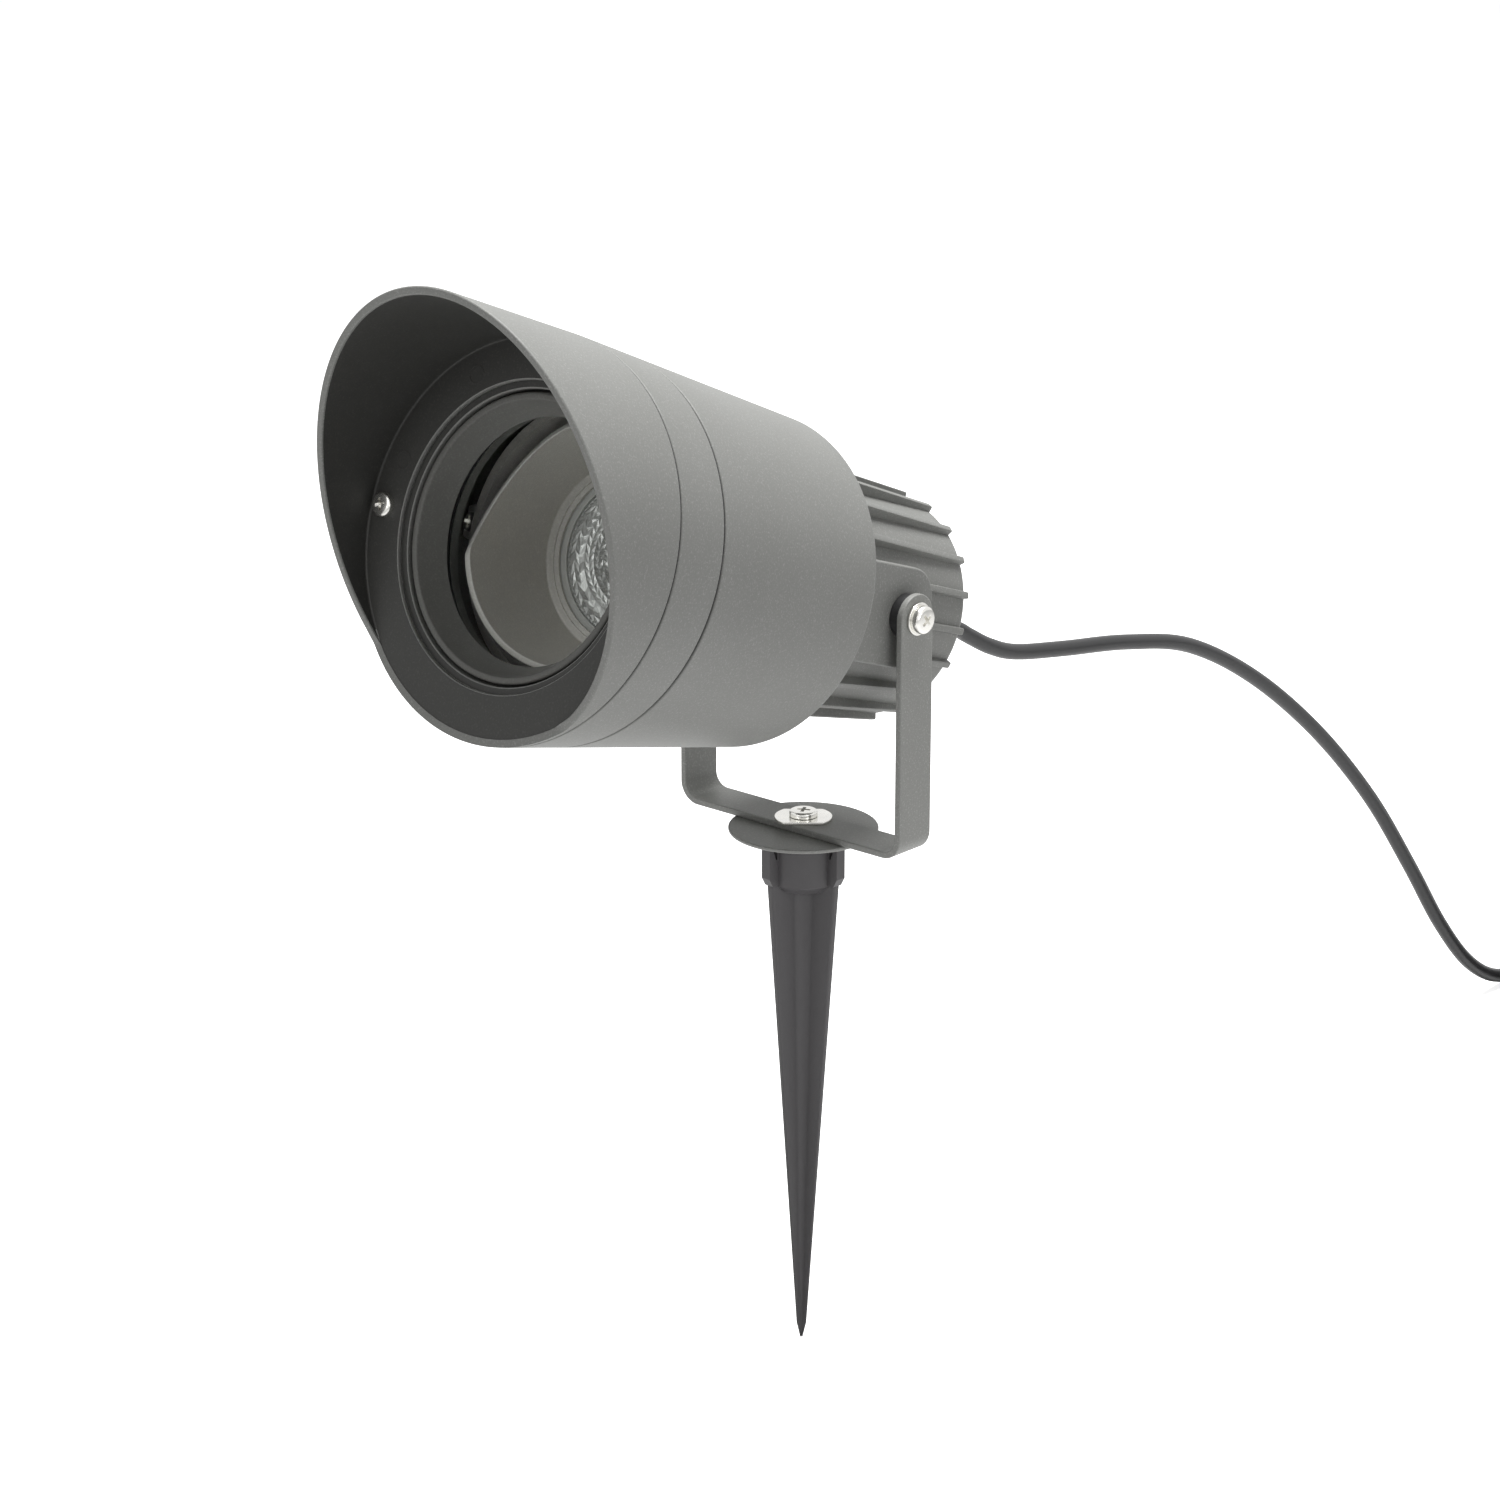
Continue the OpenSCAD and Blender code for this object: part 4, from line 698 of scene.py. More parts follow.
def make_painted_shade():
    """Painted shade: a dark skin inside the shield, over the flange's front face and on the middle ring's face,
    with four round marks.
    """
    head = settings().head
    _, seam1 = seams()
    thin = 0.05 * MM
    face = seam1 + head.flange
    wall = head.shield_wall
    edge = head.flange_hole_radius + 0.35 * MM

    def section(turn):
        tip = max(shield_tip(turn, wall) - 0.75 * MM, face + 3 * thin)
        foot = min(0.6 * MM, (tip - face) * 0.4)
        low, high = shield_radius(face) - wall, shield_radius(tip) - wall
        outline = [
            (low + thin, face - thin), (high + thin, tip), (high - thin, tip),
            (low - thin, face + thin, foot), (edge, face + thin), (edge, face - thin),
        ]
        return even_section(outline)

    pieces = [around("shield_painted_shade", section, IN_HEAD, 360)]
    band_in, band_out = head.seat_radius + 0.4 * MM, head.flange_hole_radius - 0.03 * MM
    pieces.append(turned("face_band", band(band_in, band_out, seam1 - thin, seam1 + thin), IN_HEAD, 256))
    outer, deep = head.mark_diameter / 2, 0.12 * MM
    place = head.screw_circle - head.mark_diameter / 4
    for way in map(math.radians, (33, 74, -33, -74)):
        ring = [
            (outer - 0.45 * MM, 0.0), (outer - 0.45 * MM, deep, 0.06 * MM), (outer, deep, 0.06 * MM),
            (outer, 0.0),
        ]
        centre = Matrix.Translation((place * math.sin(way), place * math.cos(way), face))
        pieces.append(turned("face_mark", ring, IN_HEAD @ centre, 48))
    return soften(joined(pieces, "shield_painted_shade"), 32)


def make_clamp_ring():
    """The threaded ring in front of the glass."""
    head = settings().head
    _, seam1 = seams()
    front, glass = seam1 - 0.3 * MM, seam1 - GLASS_DEPTH
    out = head.seat_radius - head.clamp_gap
    outline = [
        (head.clamp_inner_radius, glass, 0.25 * MM), (head.seat_radius - 0.03 * MM, glass),
        (head.seat_radius - 0.03 * MM, glass + 3 * MM), (out, glass + 3.5 * MM),
        (out, front, 0.95 * MM), (out - 1.9 * MM, front - 0.2 * MM, 0.8 * MM),
    ]
    return soften(turned("clamp_ring_skin", outline, IN_HEAD, 256, 6))


def make_glass():
    """The flat front glass."""
    head = settings().head
    _, seam1 = seams()
    front, back = seam1 - GLASS_DEPTH, seam1 - GLASS_DEPTH - GLASS_THICKNESS
    edge = head.seat_radius - 0.2 * MM
    outline = [(0.0, back), (edge, back, 0.4 * MM), (edge, front, 0.4 * MM), (0.0, front)]
    return soften(turned("front_pane", outline, IN_HEAD, 128, 2))


def in_cup():
    """The lamp cup's own frame: (across, up, ahead) from its pivot."""
    turn = Matrix.Rotation(settings().lamp.turn, 4, "Y")
    ahead = IN_HEAD.inverted() @ CUP_PIVOT
    return IN_HEAD @ Matrix.Translation(ahead) @ turn


def make_cup():
    """The lamp cup, with two slanted facets in its rim."""
    lamp = settings().lamp
    floor_z = lamp.rim_reach - lamp.depth
    flare = (lamp.rim_radius - lamp.wall - lamp.floor_radius) / lamp.depth
    steep = math.tan(lamp.facet_angle)
    outer_share = 0.7
    skirt_out, skirt_in, skirt_end = 28 * MM, 26.2 * MM, floor_z - 12.5 * MM
    lip_r, groove_r, groove = 24.4 * MM, 25.8 * MM, 0.6 * MM

    def rim(turn, radius_at_floor):
        best = lamp.rim_reach
        for side in (lamp.facet_side, -lamp.facet_side):
            lean = steep * math.cos(turn - side)
            base = radius_at_floor - flare * floor_z
            level = lamp.rim_reach + steep * lamp.rim_radius * outer_share
            reach = (level - lean * base) / (1 + lean * flare)
            best = min(best, reach) if 1 + lean * flare > 0 else best
        return best

    def section(turn):
        inn, out = lamp.floor_radius, lamp.floor_radius + lamp.wall
        z_in, z_out = rim(turn, inn), rim(turn, out)
        outline = [
            (inn, floor_z, 0.6 * MM), (inn + flare * (z_in - floor_z), z_in, 0.35 * MM),
            (out + flare * (z_out - floor_z), z_out, 0.35 * MM), (out, floor_z, 0.3 * MM),
            (skirt_out, floor_z - 2.5 * MM), (skirt_out, skirt_end, 0.3 * MM),
            (skirt_in, skirt_end, 0.3 * MM), (skirt_in, floor_z - 1.5 * MM),
            (lip_r, floor_z - 1.5 * MM), (lip_r, floor_z - groove),
            (groove_r, floor_z - groove, 0.15 * MM), (groove_r, floor_z, 0.15 * MM),
        ]
        return even_section(outline)

    return soften(around("lamp_cup_skin", section, in_cup(), 300), 34)


# Shapes of the lamp

CAVITY = 11.2 * MM


def chance(a, b):
    """A repeatable number from 0 to 1 for a facet."""
    value = math.sin(a * 12.9898 + b * 78.233) * 43758.5453
    return value - math.floor(value)


def make_lamp_shell():
    """The lamp's body, from its front ring back to its neck."""
    radius = settings().lamp.lamp_radius
    lens_r, neck = radius - 2.47 * MM, radius / 2
    front = lamp_front()
    back, base, seat = front - 46.5 * MM, front - CAVITY, front - 2.2 * MM
    outline = [
        (lens_r, front, 0.2 * MM), (radius, front, 0.5 * MM), (radius, front - 6 * MM, 0.4 * MM),
        (radius - 1 * MM, front - 7 * MM), (radius - 1 * MM, front - 10 * MM, 2 * MM),
        (neck, front - 34.5 * MM, 4 * MM), (neck, back, 0.5 * MM), (0.0, back),
        (0.0, base), (11 * MM, base), (lens_r - 2 * MM, seat), (lens_r, seat),
    ]
    return soften(turned("lamp_shell_skin", outline, in_cup(), 128))


def lamp_front():
    """Place of the lamp's front ring, ahead of the cup's pivot."""
    lamp = settings().lamp
    return lamp.rim_reach - lamp.depth - 1.7 * MM


def make_optic():
    """The lamp's clear front: a ribbed rim round a field of small facets."""
    lamp = settings().lamp
    top = lamp_front() - 0.6 * MM
    edge = lamp.lamp_radius - 2.52 * MM
    hub = 6.5 * MM

    def section(turn):
        rib = 0.22 * MM * abs(math.sin(45 * turn))
        outline = [
            (hub, top - 1.6 * MM), (edge, top - 1.6 * MM), (edge, top - 0.15 * MM),
            (edge - 0.3 * MM, top + 0.3 * MM - rib), (edge - 0.8 * MM, top + 0.3 * MM - rib),
            (edge - 1.0 * MM, top - 0.9 * MM), (hub, top - 1.0 * MM),
        ]
        return even_section(outline, 3)

    rim = around("optic_band", section, in_cup(), 360)
    rings, count = 10, lamp.facets
    outer = edge - 0.6 * MM
    points, faces = [], []
    for i in range(rings + 1):
        radius = hub + (outer - hub) * i / rings
        for k in range(count):
            way = math.tau * (k + 0.5 * (i % 2)) / count
            height = top - (0.1 if i > 7 else 0.45) * MM
            points.append((radius * math.sin(way), radius * math.cos(way), height))
    for i in range(rings):
        for k in range(count):
            a, b = i * count + k, i * count + (k + 1) % count
            corners_of = (a, b, b + count, a + count)
            middle = sum((Vector(points[c]) for c in corners_of), Vector()) / 4
            middle.z += (0.1 + 0.5 * chance(i, k)) * (0.5 if 5 <= i <= 7 else 1.0) * MM
            points.append(tuple(middle))
            peak = len(points) - 1
            faces += [(c, d, peak) for c, d in zip(corners_of, corners_of[1:] + corners_of[:1])]
    field = mesh_piece("optic_field", points, faces, in_cup())
    return joined([soften(rim, 25, weighted=False), field], "lamp_optic")


def make_collimator():
    """The warm cone that leads from the optic's middle down to the emitter."""
    top = lamp_front() - 1.4 * MM
    thin = 0.3 * MM
    outline = [
        (6.7 * MM, top), (6.7 * MM + thin, top), (4.4 * MM + thin, top - 7 * MM),
        (4.4 * MM, top - 7 * MM),
    ]
    return soften(turned("collimator", outline, in_cup(), 64))


def make_emitter():
    """The warm emitter on its round base."""
    base = lamp_front() - CAVITY
    rim = base + 1.6 * MM
    outline = [
        (0.0, base), (8 * MM, base, 0.2 * MM), (8 * MM, rim, 0.3 * MM), (4.4 * MM, rim),
        (3.6 * MM, base + 2.3 * MM, 0.5 * MM), (0.0, base + 2.4 * MM),
    ]
    return soften(turned("emitter_dome", outline, in_cup(), 64))


def make_leads():
    """The lamp's two leads in their CAD shape."""
    source = frame["nodes"]["lamp_leads"]
    leads = shown("soft_leads", source.data.copy())
    leads.matrix_world = source.matrix_world.copy()
    leads.data.materials.clear()
    leads.data.materials.append(finish_of("wire"))
    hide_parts("lamp_leads")
    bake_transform(leads)


# Shapes of the rear housing


def head_plane(across_is, up_is, place=(0, 0, 0)):
    """From a flat outline's (x, y, thickness) to the head's frame; y always runs ahead."""
    x, z = Vector(across_is), Vector(up_is)
    turn = Matrix(((x.x, 0, z.x), (x.y, 0, z.y), (x.z, 1, z.z))).to_4x4()
    return IN_HEAD @ Matrix.Translation(place) @ turn


def make_housing():
    """The finned rear housing: turned core, bevelled fins and two flat pads with round corners."""
    head, rear = settings().head, settings().rear
    lip_s = head.rear_s + head.lip
    flange_r = head_radius(lip_s) - head.wall - 0.8 * MM
    inner_r = rear.front_radius - rear.wall
    back = -rear.reach
    pieces = [turned("core", [
        (0.0, back), (rear.end_radius, back, 3 * MM), (rear.front_radius, lip_s),
        (flange_r, lip_s), (flange_r, lip_s + 3 * MM),
        (inner_r, lip_s + 3 * MM), (inner_r, lip_s),
        (rear.end_radius - rear.wall, back + rear.wall), (0.0, back + rear.wall),
    ], IN_HEAD, 180)]
    foot = rear.end_radius - 3 * MM
    fin_back = back + rear.fin_short
    for i in range(rear.fins):
        way = math.radians(3) + math.tau * i / rear.fins
        limit = (rear.pad_reach - 0.05 * MM) / max(abs(math.sin(way)), 0.01)
        front = min(rear.front_radius + rear.fin_front, limit)
        end = min(rear.end_radius + rear.fin_end, limit)
        outline = [
            (foot, fin_back), (end, fin_back, 0.5 * MM), (front, head.rear_s),
            (front, lip_s), (foot, lip_s),
        ]
        side_on = head_plane((math.sin(way), math.cos(way), 0), (math.cos(way), -math.sin(way), 0))
        pieces.append(bevelled(slab("fin", outline, rear.fin, side_on), 0.4 * MM, 2))
    pad_deep = 20 * MM
    for side in (-1, 1):
        outline = [
            (-rear.pad_down, -rear.pad_back, rear.pad_corner),
            (rear.pad_up, -rear.pad_back, rear.pad_corner),
            (rear.pad_up, lip_s), (-rear.pad_down, lip_s),
        ]
        place = head_plane((0, 1, 0), (1, 0, 0), (side * (rear.pad_reach - pad_deep / 2), 0, 0))
        pieces.append(bevelled(slab("pad", outline, pad_deep, place, 8), 0.7 * MM, 3))
    return soften(joined(pieces, "rear_housing_skin"), 34)


# Shapes of the yoke, the screws and the spike


def make_yoke():
    """The yoke: a flat strip with round ends and softened edges, bent into a U."""
    mount = settings().mount
    flat = mount.half_width - mount.bend
    bend_len = math.pi / 2 * (mount.bend - mount.strip / 2)
    half = mount.strip_width / 2
    reach = flat + bend_len + PIVOT.z - mount.bend
    outline = []
    for side in (1, -1):
        for k in range(33):
            way = math.pi * (k / 32 - 0.5)
            outline.append((side * (reach + half * math.cos(way)), side * half * math.sin(way)))
    strip = bevelled(slab("yoke_strip", outline, mount.strip, None), 0.4 * MM, 3)
    build = bmesh.new()
    build.from_mesh(strip.data)
    for side in (-1, 1):
        for k in range(15):
            cut = side * (flat + bend_len * k / 14)
            parts = build.verts[:] + build.edges[:] + build.faces[:]
            bmesh.ops.bisect_plane(build, geom=parts, plane_co=(cut, 0, 0), plane_no=(1, 0, 0))
    for vertex in build.verts:
        side = 1 if vertex.co.x > 0 else -1
        along, deep = abs(vertex.co.x), vertex.co.z + mount.strip / 2
        if along <= flat:
            x, z = along, deep
        elif along <= flat + bend_len:
            way = (along - flat) / (mount.bend - mount.strip / 2)
            x = flat + (mount.bend - deep) * math.sin(way)
            z = mount.bend - (mount.bend - deep) * math.cos(way)
        else:
            x, z = mount.half_width - deep, mount.bend + along - flat - bend_len
        vertex.co = (side * x, vertex.co.y, z)
    bmesh.ops.recalc_face_normals(build, faces=build.faces)
    build.to_mesh(strip.data)
    build.free()
    return soften(strip, 34)


# Each kind of screw: head radius, head height, shank radius and length, in millimetres
SCREWS = {"face": (3.6, 2.3, 2, 10), "side": (4.08, 2.72, 2.1, 11.4), "pan": (4.2, 1.9, 2.5, 16.2)}


def make_screw(name, kind, where):
    """A pan head screw with a cross recess; its seat is at 0 and its head points along +Z."""
    radius, height, shank, length = (part * MM for part in SCREWS[kind])
    head = turned(name, [
        (0.0, -length), (shank, -length, 0.2 * MM), (shank, 0.0), (radius, 0.0, 0.12 * MM),
        (radius, height * 0.93, height * 0.62), (0.0, height),
    ], None, 72, 6)
    wide, long_top, long_low = radius * 0.12, radius * 0.6, radius * 0.22
    top, low = height + 0.4 * MM, height - min(height * 0.62, 1.4 * MM)
    for turn in (0, 90):
        ends = (low, long_low), (top, long_top)
        points = [(x * reach, y * wide, z) for z, reach in ends for x, y in SQUARE]
        faces = [(0, 3, 2, 1), (4, 5, 6, 7), (0, 1, 5, 4), (1, 2, 6, 5), (2, 3, 7, 6), (3, 0, 4, 7)]
        cut_away(head, mesh_piece("cross", points, faces, spun(turn)))
    head.data.transform(where)
    return soften(head, 30, weighted=False)


def at_side(side, turn=0.0):
    """The tilt axis's own frame on one side: +Z points out of the yoke."""
    return Matrix.Translation(PIVOT) @ Matrix.Rotation(side * math.pi / 2, 4, "Y") @ spun(turn)


def both_rings(name, inner, outer, near, far, soft):
    """A ring on each side of the yoke, about the tilt axis."""
    outline = band(inner, outer, near, far, soft)
    return soften(joined([turned(name, outline, at_side(side), 72) for side in (-1, 1)], name))


def make_pan_washer():
    """The washer with two flat sides under the pan bolt."""
    mount = settings().mount
    radius, half = mount.washer_diameter / 2, mount.washer_width / 2
    flat_at = math.asin(half / radius)
    outline = []
    for side in (0, math.pi):
        for k in range(17):
            way = side - flat_at + 2 * flat_at * k / 16
            outline.append((radius * math.cos(way), radius * math.sin(way)))
    place = spun(41, (0, 0, mount.strip + 0.5 * MM))
    return soften(bevelled(slab("flat_washer", outline, 1 * MM, place), 0.2 * MM, 2), 30)


def make_flange():
    """The round flange with its hub."""
    mount = settings().mount
    low, high = -0.1 * MM - mount.flange, -0.1 * MM
    outline = [
        (2.6 * MM, -12.2 * MM), (5.7 * MM, -12.2 * MM, 0.3 * MM), (5.7 * MM, low, 0.3 * MM),
        (mount.flange_radius, low, 0.55 * MM), (mount.flange_radius, high, 0.4 * MM), (2.6 * MM, high),
    ]
    return soften(turned("flange_disc", outline, None, 160))


def make_spike():
    """The four-ribbed spike with hollow flanks, its neck and the slotted lugs."""
    mount = settings().mount
    top, tip = -mount.lug_end, GROUND_Z
    length = top - tip
    points = []
    blunt_share, point_share = 0.965, 0.25
    down_shares = [0.0, 0.02] + [k / 12 for k in range(1, 12)] + [blunt_share, 1.0]
    for down_share in down_shares:
        span = mount.rib_span * (1 - (1 - mount.tip_share) * min(down_share, blunt_share))
        if down_share == 1.0:
            span *= point_share
        edge, valley = span * 0.085, span * 0.19
        outline = []
        for i in range(4):
            turn = Matrix.Rotation(math.pi / 2 * i, 2)
            for x, y, fillet in (
                (span, -edge, edge * 0.7), (span, edge, edge * 0.7), (valley, valley, span * 0.34)
            ):
                x, y = turn @ Vector((x, y))
                outline.append((x, y, fillet))
        ring = rounded(outline, 5)
        overlap = 0.1 * MM if down_share == 0 else 0
        points += [(p.x, p.y, top - length * down_share + overlap) for p in ring]
    count = len(ring)
    faces = ring_faces(len(down_shares), count)
    faces += [tuple(range(count)), tuple(range(len(points) - count, len(points)))[::-1]]
    turn = Matrix.Rotation(mount.spike_turn, 4, "Z")
    pieces = [mesh_piece("blade", points, faces, turn)]
    disc_low = -0.1 * MM - mount.flange
    neck_r, neck_end, slant = mount.barrel_radius, -mount.barrel_end, 2.4 * MM
    pieces.append(turned("barrel", [
        (0.0, neck_end), (neck_r - slant, neck_end, 0.7 * MM), (neck_r, neck_end + slant, 0.7 * MM),
        (neck_r, disc_low, 0.2 * MM), (0.0, disc_low),
    ], turn, 96))
    upright = Matrix.Rotation(math.pi / 2, 4, "X")
    for quarter in (0, 1):
        place = turn @ Matrix.Rotation(quarter * math.pi / 2, 4, "Z") @ upright
        low = -mount.lug_end
        plate = slab("lug", [
            (-mount.lug_span, disc_low, 0.2 * MM), (-mount.lug_span, low + 2.7 * MM, 0.6 * MM),
            (-mount.rib_span, low, 0.5 * MM), (mount.rib_span, low, 0.5 * MM),
            (mount.lug_span, low + 2.7 * MM, 0.6 * MM), (mount.lug_span, disc_low, 0.2 * MM),
        ], mount.lug, place)
        slots = []
        for side in (-1, 1):
            near, far, roof = neck_r + 0.3 * MM, mount.lug_span - 0.9 * MM, disc_low - 1 * MM
            slot = [
                (side * near, roof), (side * near, roof - 6.4 * MM, 0.3 * MM),
                (side * far, roof, 0.3 * MM),
            ]
            slots.append(slab("slot", slot, 2 * mount.lug, place))
        pieces.append(bevelled(cut_away(plate, joined(slots, "slots")), 0.3 * MM, 2))
    return soften(joined(pieces, "spike_skin"), 36)


# Shapes at the cable's ends


def make_gland():
    """Hexagonal gland body with softened corners, and its short thread."""
    flat_radius = 17 * MM / 2 / math.cos(math.pi / 6)
    back = -settings().rear.reach
    outline = []
    for k in range(6):
        way = math.radians(30 + 60 * k)
        outline.append((flat_radius * math.cos(way), flat_radius * math.sin(way), 0.5 * MM))
    tall = 5 * MM
    place = IN_GLAND @ Matrix.Translation((0, 0, back - tall / 2))
    hexagon = bevelled(slab("hexagon", outline, tall, place), 0.5 * MM)
    low, high, thread_r = back - 0.1 * MM, back + 4.8 * MM, 6 * MM
    thread = [(0.0, low), (thread_r, low), (thread_r, high, 0.4 * MM), (0.0, high)]
    return soften(joined([hexagon, turned("thread", thread, IN_GLAND, 48)], "gland_skin"))


def make_gland_nut():
    """Dome nut of the gland, with shallow grip flutes."""
    front = -settings().rear.reach - 5 * MM
    nose = settings().cable.diameter / 2 + 2.5 * MM

    def section(turn):
        grip = 8 * MM * (1 - 0.045 * max(0.0, math.cos(14 * turn)))
        outline = [
            (0.0, front), (grip, front, 0.4 * MM), (grip, front - 5 * MM, 0.8 * MM),
            (nose, front - 9 * MM, 0.5 * MM), (0.0, front - 9 * MM),
        ]
        return even_section(outline)

    return soften(around("gland_nut_skin", section, IN_GLAND, 168))


def make_relief():
    """The tapered strain relief with its grooves."""
    start_s, end_s = CORD_START_S + 20 * MM, CORD_START_S
    fat, thin, groove, count = 4.3 * MM, 3.0 * MM, 0.45 * MM, 6
    step = (start_s - end_s) / count
    outline = [(0.0, start_s)]
    for i in range(count):
        top = start_s - i * step
        radius = fat + (thin - fat) * i / (count - 1)
        outline += [
            (radius, top, 0.2 * MM), (radius, top - step * 0.62, 0.25 * MM),
            (radius - groove, top - step * 0.7, 0.1 * MM), (radius - groove, top - step * 0.96, 0.1 * MM),
        ]
    outline += [(0.0, end_s)]
    return soften(turned("strain_relief_boot", outline, IN_GLAND, 48, 3))


def make_plug():
    """Round plug with a ribbed grip and a recessed face."""
    grip, end, face = 22 * MM, 52 * MM, 15.5 * MM
    outline = [(0.0, 0.0), (4 * MM, 0.0, 0.5 * MM)]
    for i in range(1, 5):
        middle, radius = i * 3.8 * MM, (4 + i) * MM
        outline += [
            (radius - 0.26 * MM, middle - 1 * MM), (radius + 1.2 * MM, middle - 1 * MM, 0.5 * MM),
            (radius + 1.2 * MM, middle + 1 * MM, 0.5 * MM), (radius + 0.26 * MM, middle + 1 * MM),
        ]
    outline += [
        (9 * MM, grip - 3 * MM, 1.5 * MM), (PLUG_RADIUS, grip + 1 * MM, 3 * MM), (PLUG_RADIUS, end, 1.2 * MM),
        (face, end, 0.3 * MM), (face, end - 2 * MM, 0.3 * MM), (0.0, end - 2 * MM),
    ]
    place = Matrix.Translation(plug_place()) @ Matrix.Rotation(math.pi / 2, 4, "Y")
    return soften(turned("plug_skin", outline, place, 96))


# Camera, floor and lights

CAMERA_PLACE = Vector((0.8127, -0.9455, 0.4336))
CAMERA_TURN = math.radians(41.40)
CAMERA_DOWN = math.radians(18.22)
FOCAL_PIXELS = 4500
PHOTO_PIXELS = 1500
FLOOR_REACH = 6
FLOOR_LIFT = 0.78
WORLD_STRENGTH = 0.18
LIT_POINT = Vector((0.0, -0.04, 0.06))


def place_camera():
    """The camera that took the photograph, found from the object's own proportions."""
    data = bpy.data.cameras.new("photo camera")
    data.sensor_width = 36
    data.lens = data.sensor_width * FOCAL_PIXELS / PHOTO_PIXELS
    data.clip_end = 50
    camera = shown("photo camera", data)
    camera.location = CAMERA_PLACE
    camera.rotation_euler = (math.pi / 2 - CAMERA_DOWN, 0, CAMERA_TURN)
    bpy.context.scene.camera = camera


def seen_white(nodes, links, lit, white):
    """Mixes lit with white for the rays that see the background: camera, glossy and transmission rays."""
    path = nodes.new("ShaderNodeLightPath")
    seen = path.outputs["Is Camera Ray"]
    for kind in ("Is Glossy Ray", "Is Transmission Ray"):
        either = nodes.new("ShaderNodeMath")
        either.operation = "MAXIMUM"
        links.new(seen, either.inputs[0])
        links.new(path.outputs[kind], either.inputs[1])
        seen = either.outputs[0]
    mix = nodes.new("ShaderNodeMixShader")
    links.new(seen, mix.inputs["Fac"])
    links.new(lit, mix.inputs[1])
    links.new(white, mix.inputs[2])
    return mix


def make_floor():
    """Pale floor that shows as white to the camera and keeps the shadow."""
    points = [(x * FLOOR_REACH, y * FLOOR_REACH, GROUND_Z) for x, y in SQUARE]
    floor = mesh_piece("floor", points, [(0, 1, 2, 3)])
    material, nodes, links, shader = new_material(
        "pale floor", Base_Color=(*settings().finish.floor, 1.0), Roughness=0.9, Specular_IOR_Level=0.0
    )
    lift = nodes.new("ShaderNodeEmission")
    path = nodes.new("ShaderNodeLightPath")
    amount = nodes.new("ShaderNodeMath")
    amount.operation = "MULTIPLY"
    amount.inputs[1].default_value = FLOOR_LIFT
    links.new(path.outputs["Is Camera Ray"], amount.inputs[0])
    mix = nodes.new("ShaderNodeAddShader")
    links.new(amount.outputs[0], lift.inputs["Strength"])
    links.new(shader.outputs["BSDF"], mix.inputs[0])
    links.new(lift.outputs["Emission"], mix.inputs[1])
    links.new(mix.outputs["Shader"], nodes["Material Output"].inputs["Surface"])
    floor.data.materials.append(material)


def make_lights():
    """Three softboxes and a dim world that shows as white in the background."""
    scene = bpy.context.scene
    scene.view_settings.view_transform = "Standard"
    world = bpy.data.worlds.new("studio")
    scene.world = world
    world.use_nodes = True
    nodes, links = world.node_tree.nodes, world.node_tree.links
    soft = preset(nodes["Background"], Color=WHITE, Strength=WORLD_STRENGTH)
    white = preset(nodes.new("ShaderNodeBackground"), Color=WHITE, Strength=1.0)
    mix = seen_white(nodes, links, soft.outputs["Background"], white.outputs["Background"])
    links.new(mix.outputs["Shader"], nodes["World Output"].inputs["Surface"])
    for name, place, width, power in (
        ("overhead softbox", (0.0, 0.2, 1.4), 0.8, 34.0),
        ("right softbox", (1.5, -0.2, 0.55), 0.9, 4.0),
        ("front softbox", (-0.1, -1.6, 0.9), 0.8, 5.5),
    ):
        data = bpy.data.lights.new(name, "AREA")
        data.size = width
        data.energy = power
        lamp = shown(name, data)
        lamp.location = place
        lamp.rotation_euler = (LIT_POINT - Vector(place)).to_track_quat("-Z", "Y").to_euler()


# The cable

# Its route is in metres; the coil is worked out from its loops
CORD_START_S = -69.5 * MM
LEAD = 7 * MM
CORD_ROUTE = [
    (0, 0.076, 0.0410), (0, 0.087, 0.0350), (0, 0.100, 0.0303), (0, 0.124, 0.0259), (0, 0.157, 0.0205),
    (0, 0.191, 0.0116), (0, 0.228, -0.0079), (0, 0.266, -0.0359), (0, 0.300, -0.0679), (0, 0.327, -0.0999),
    (0, 0.349, -0.1279), (0, 0.370, -0.1489), (0, 0.391, -0.1602),
]
COIL_Y = 0.412
CLIMB = 0.5
TIE_THICKNESS = 1.2 * MM
TIE_GAP = 0.4 * MM
PLUG_OFFSET = 46 * MM
PLUG_RADIUS = 18.5 * MM


def smooth_route(points, steps):
    """A smooth curve through the points."""
    route = []
    ends = [2 * points[0] - points[1]] + points + [2 * points[-1] - points[-2]]
    for i in range(len(points) - 1):
        a, b, c, d = ends[i:i + 4]
        for k in range(steps):
            t = k / steps
            bend, twist = 2 * a - 5 * b + 4 * c - d, 3 * b - a - 3 * c + d
            route.append(0.5 * (2 * b + (c - a) * t + bend * t * t + twist * t ** 3))
    return route + [points[-1]]


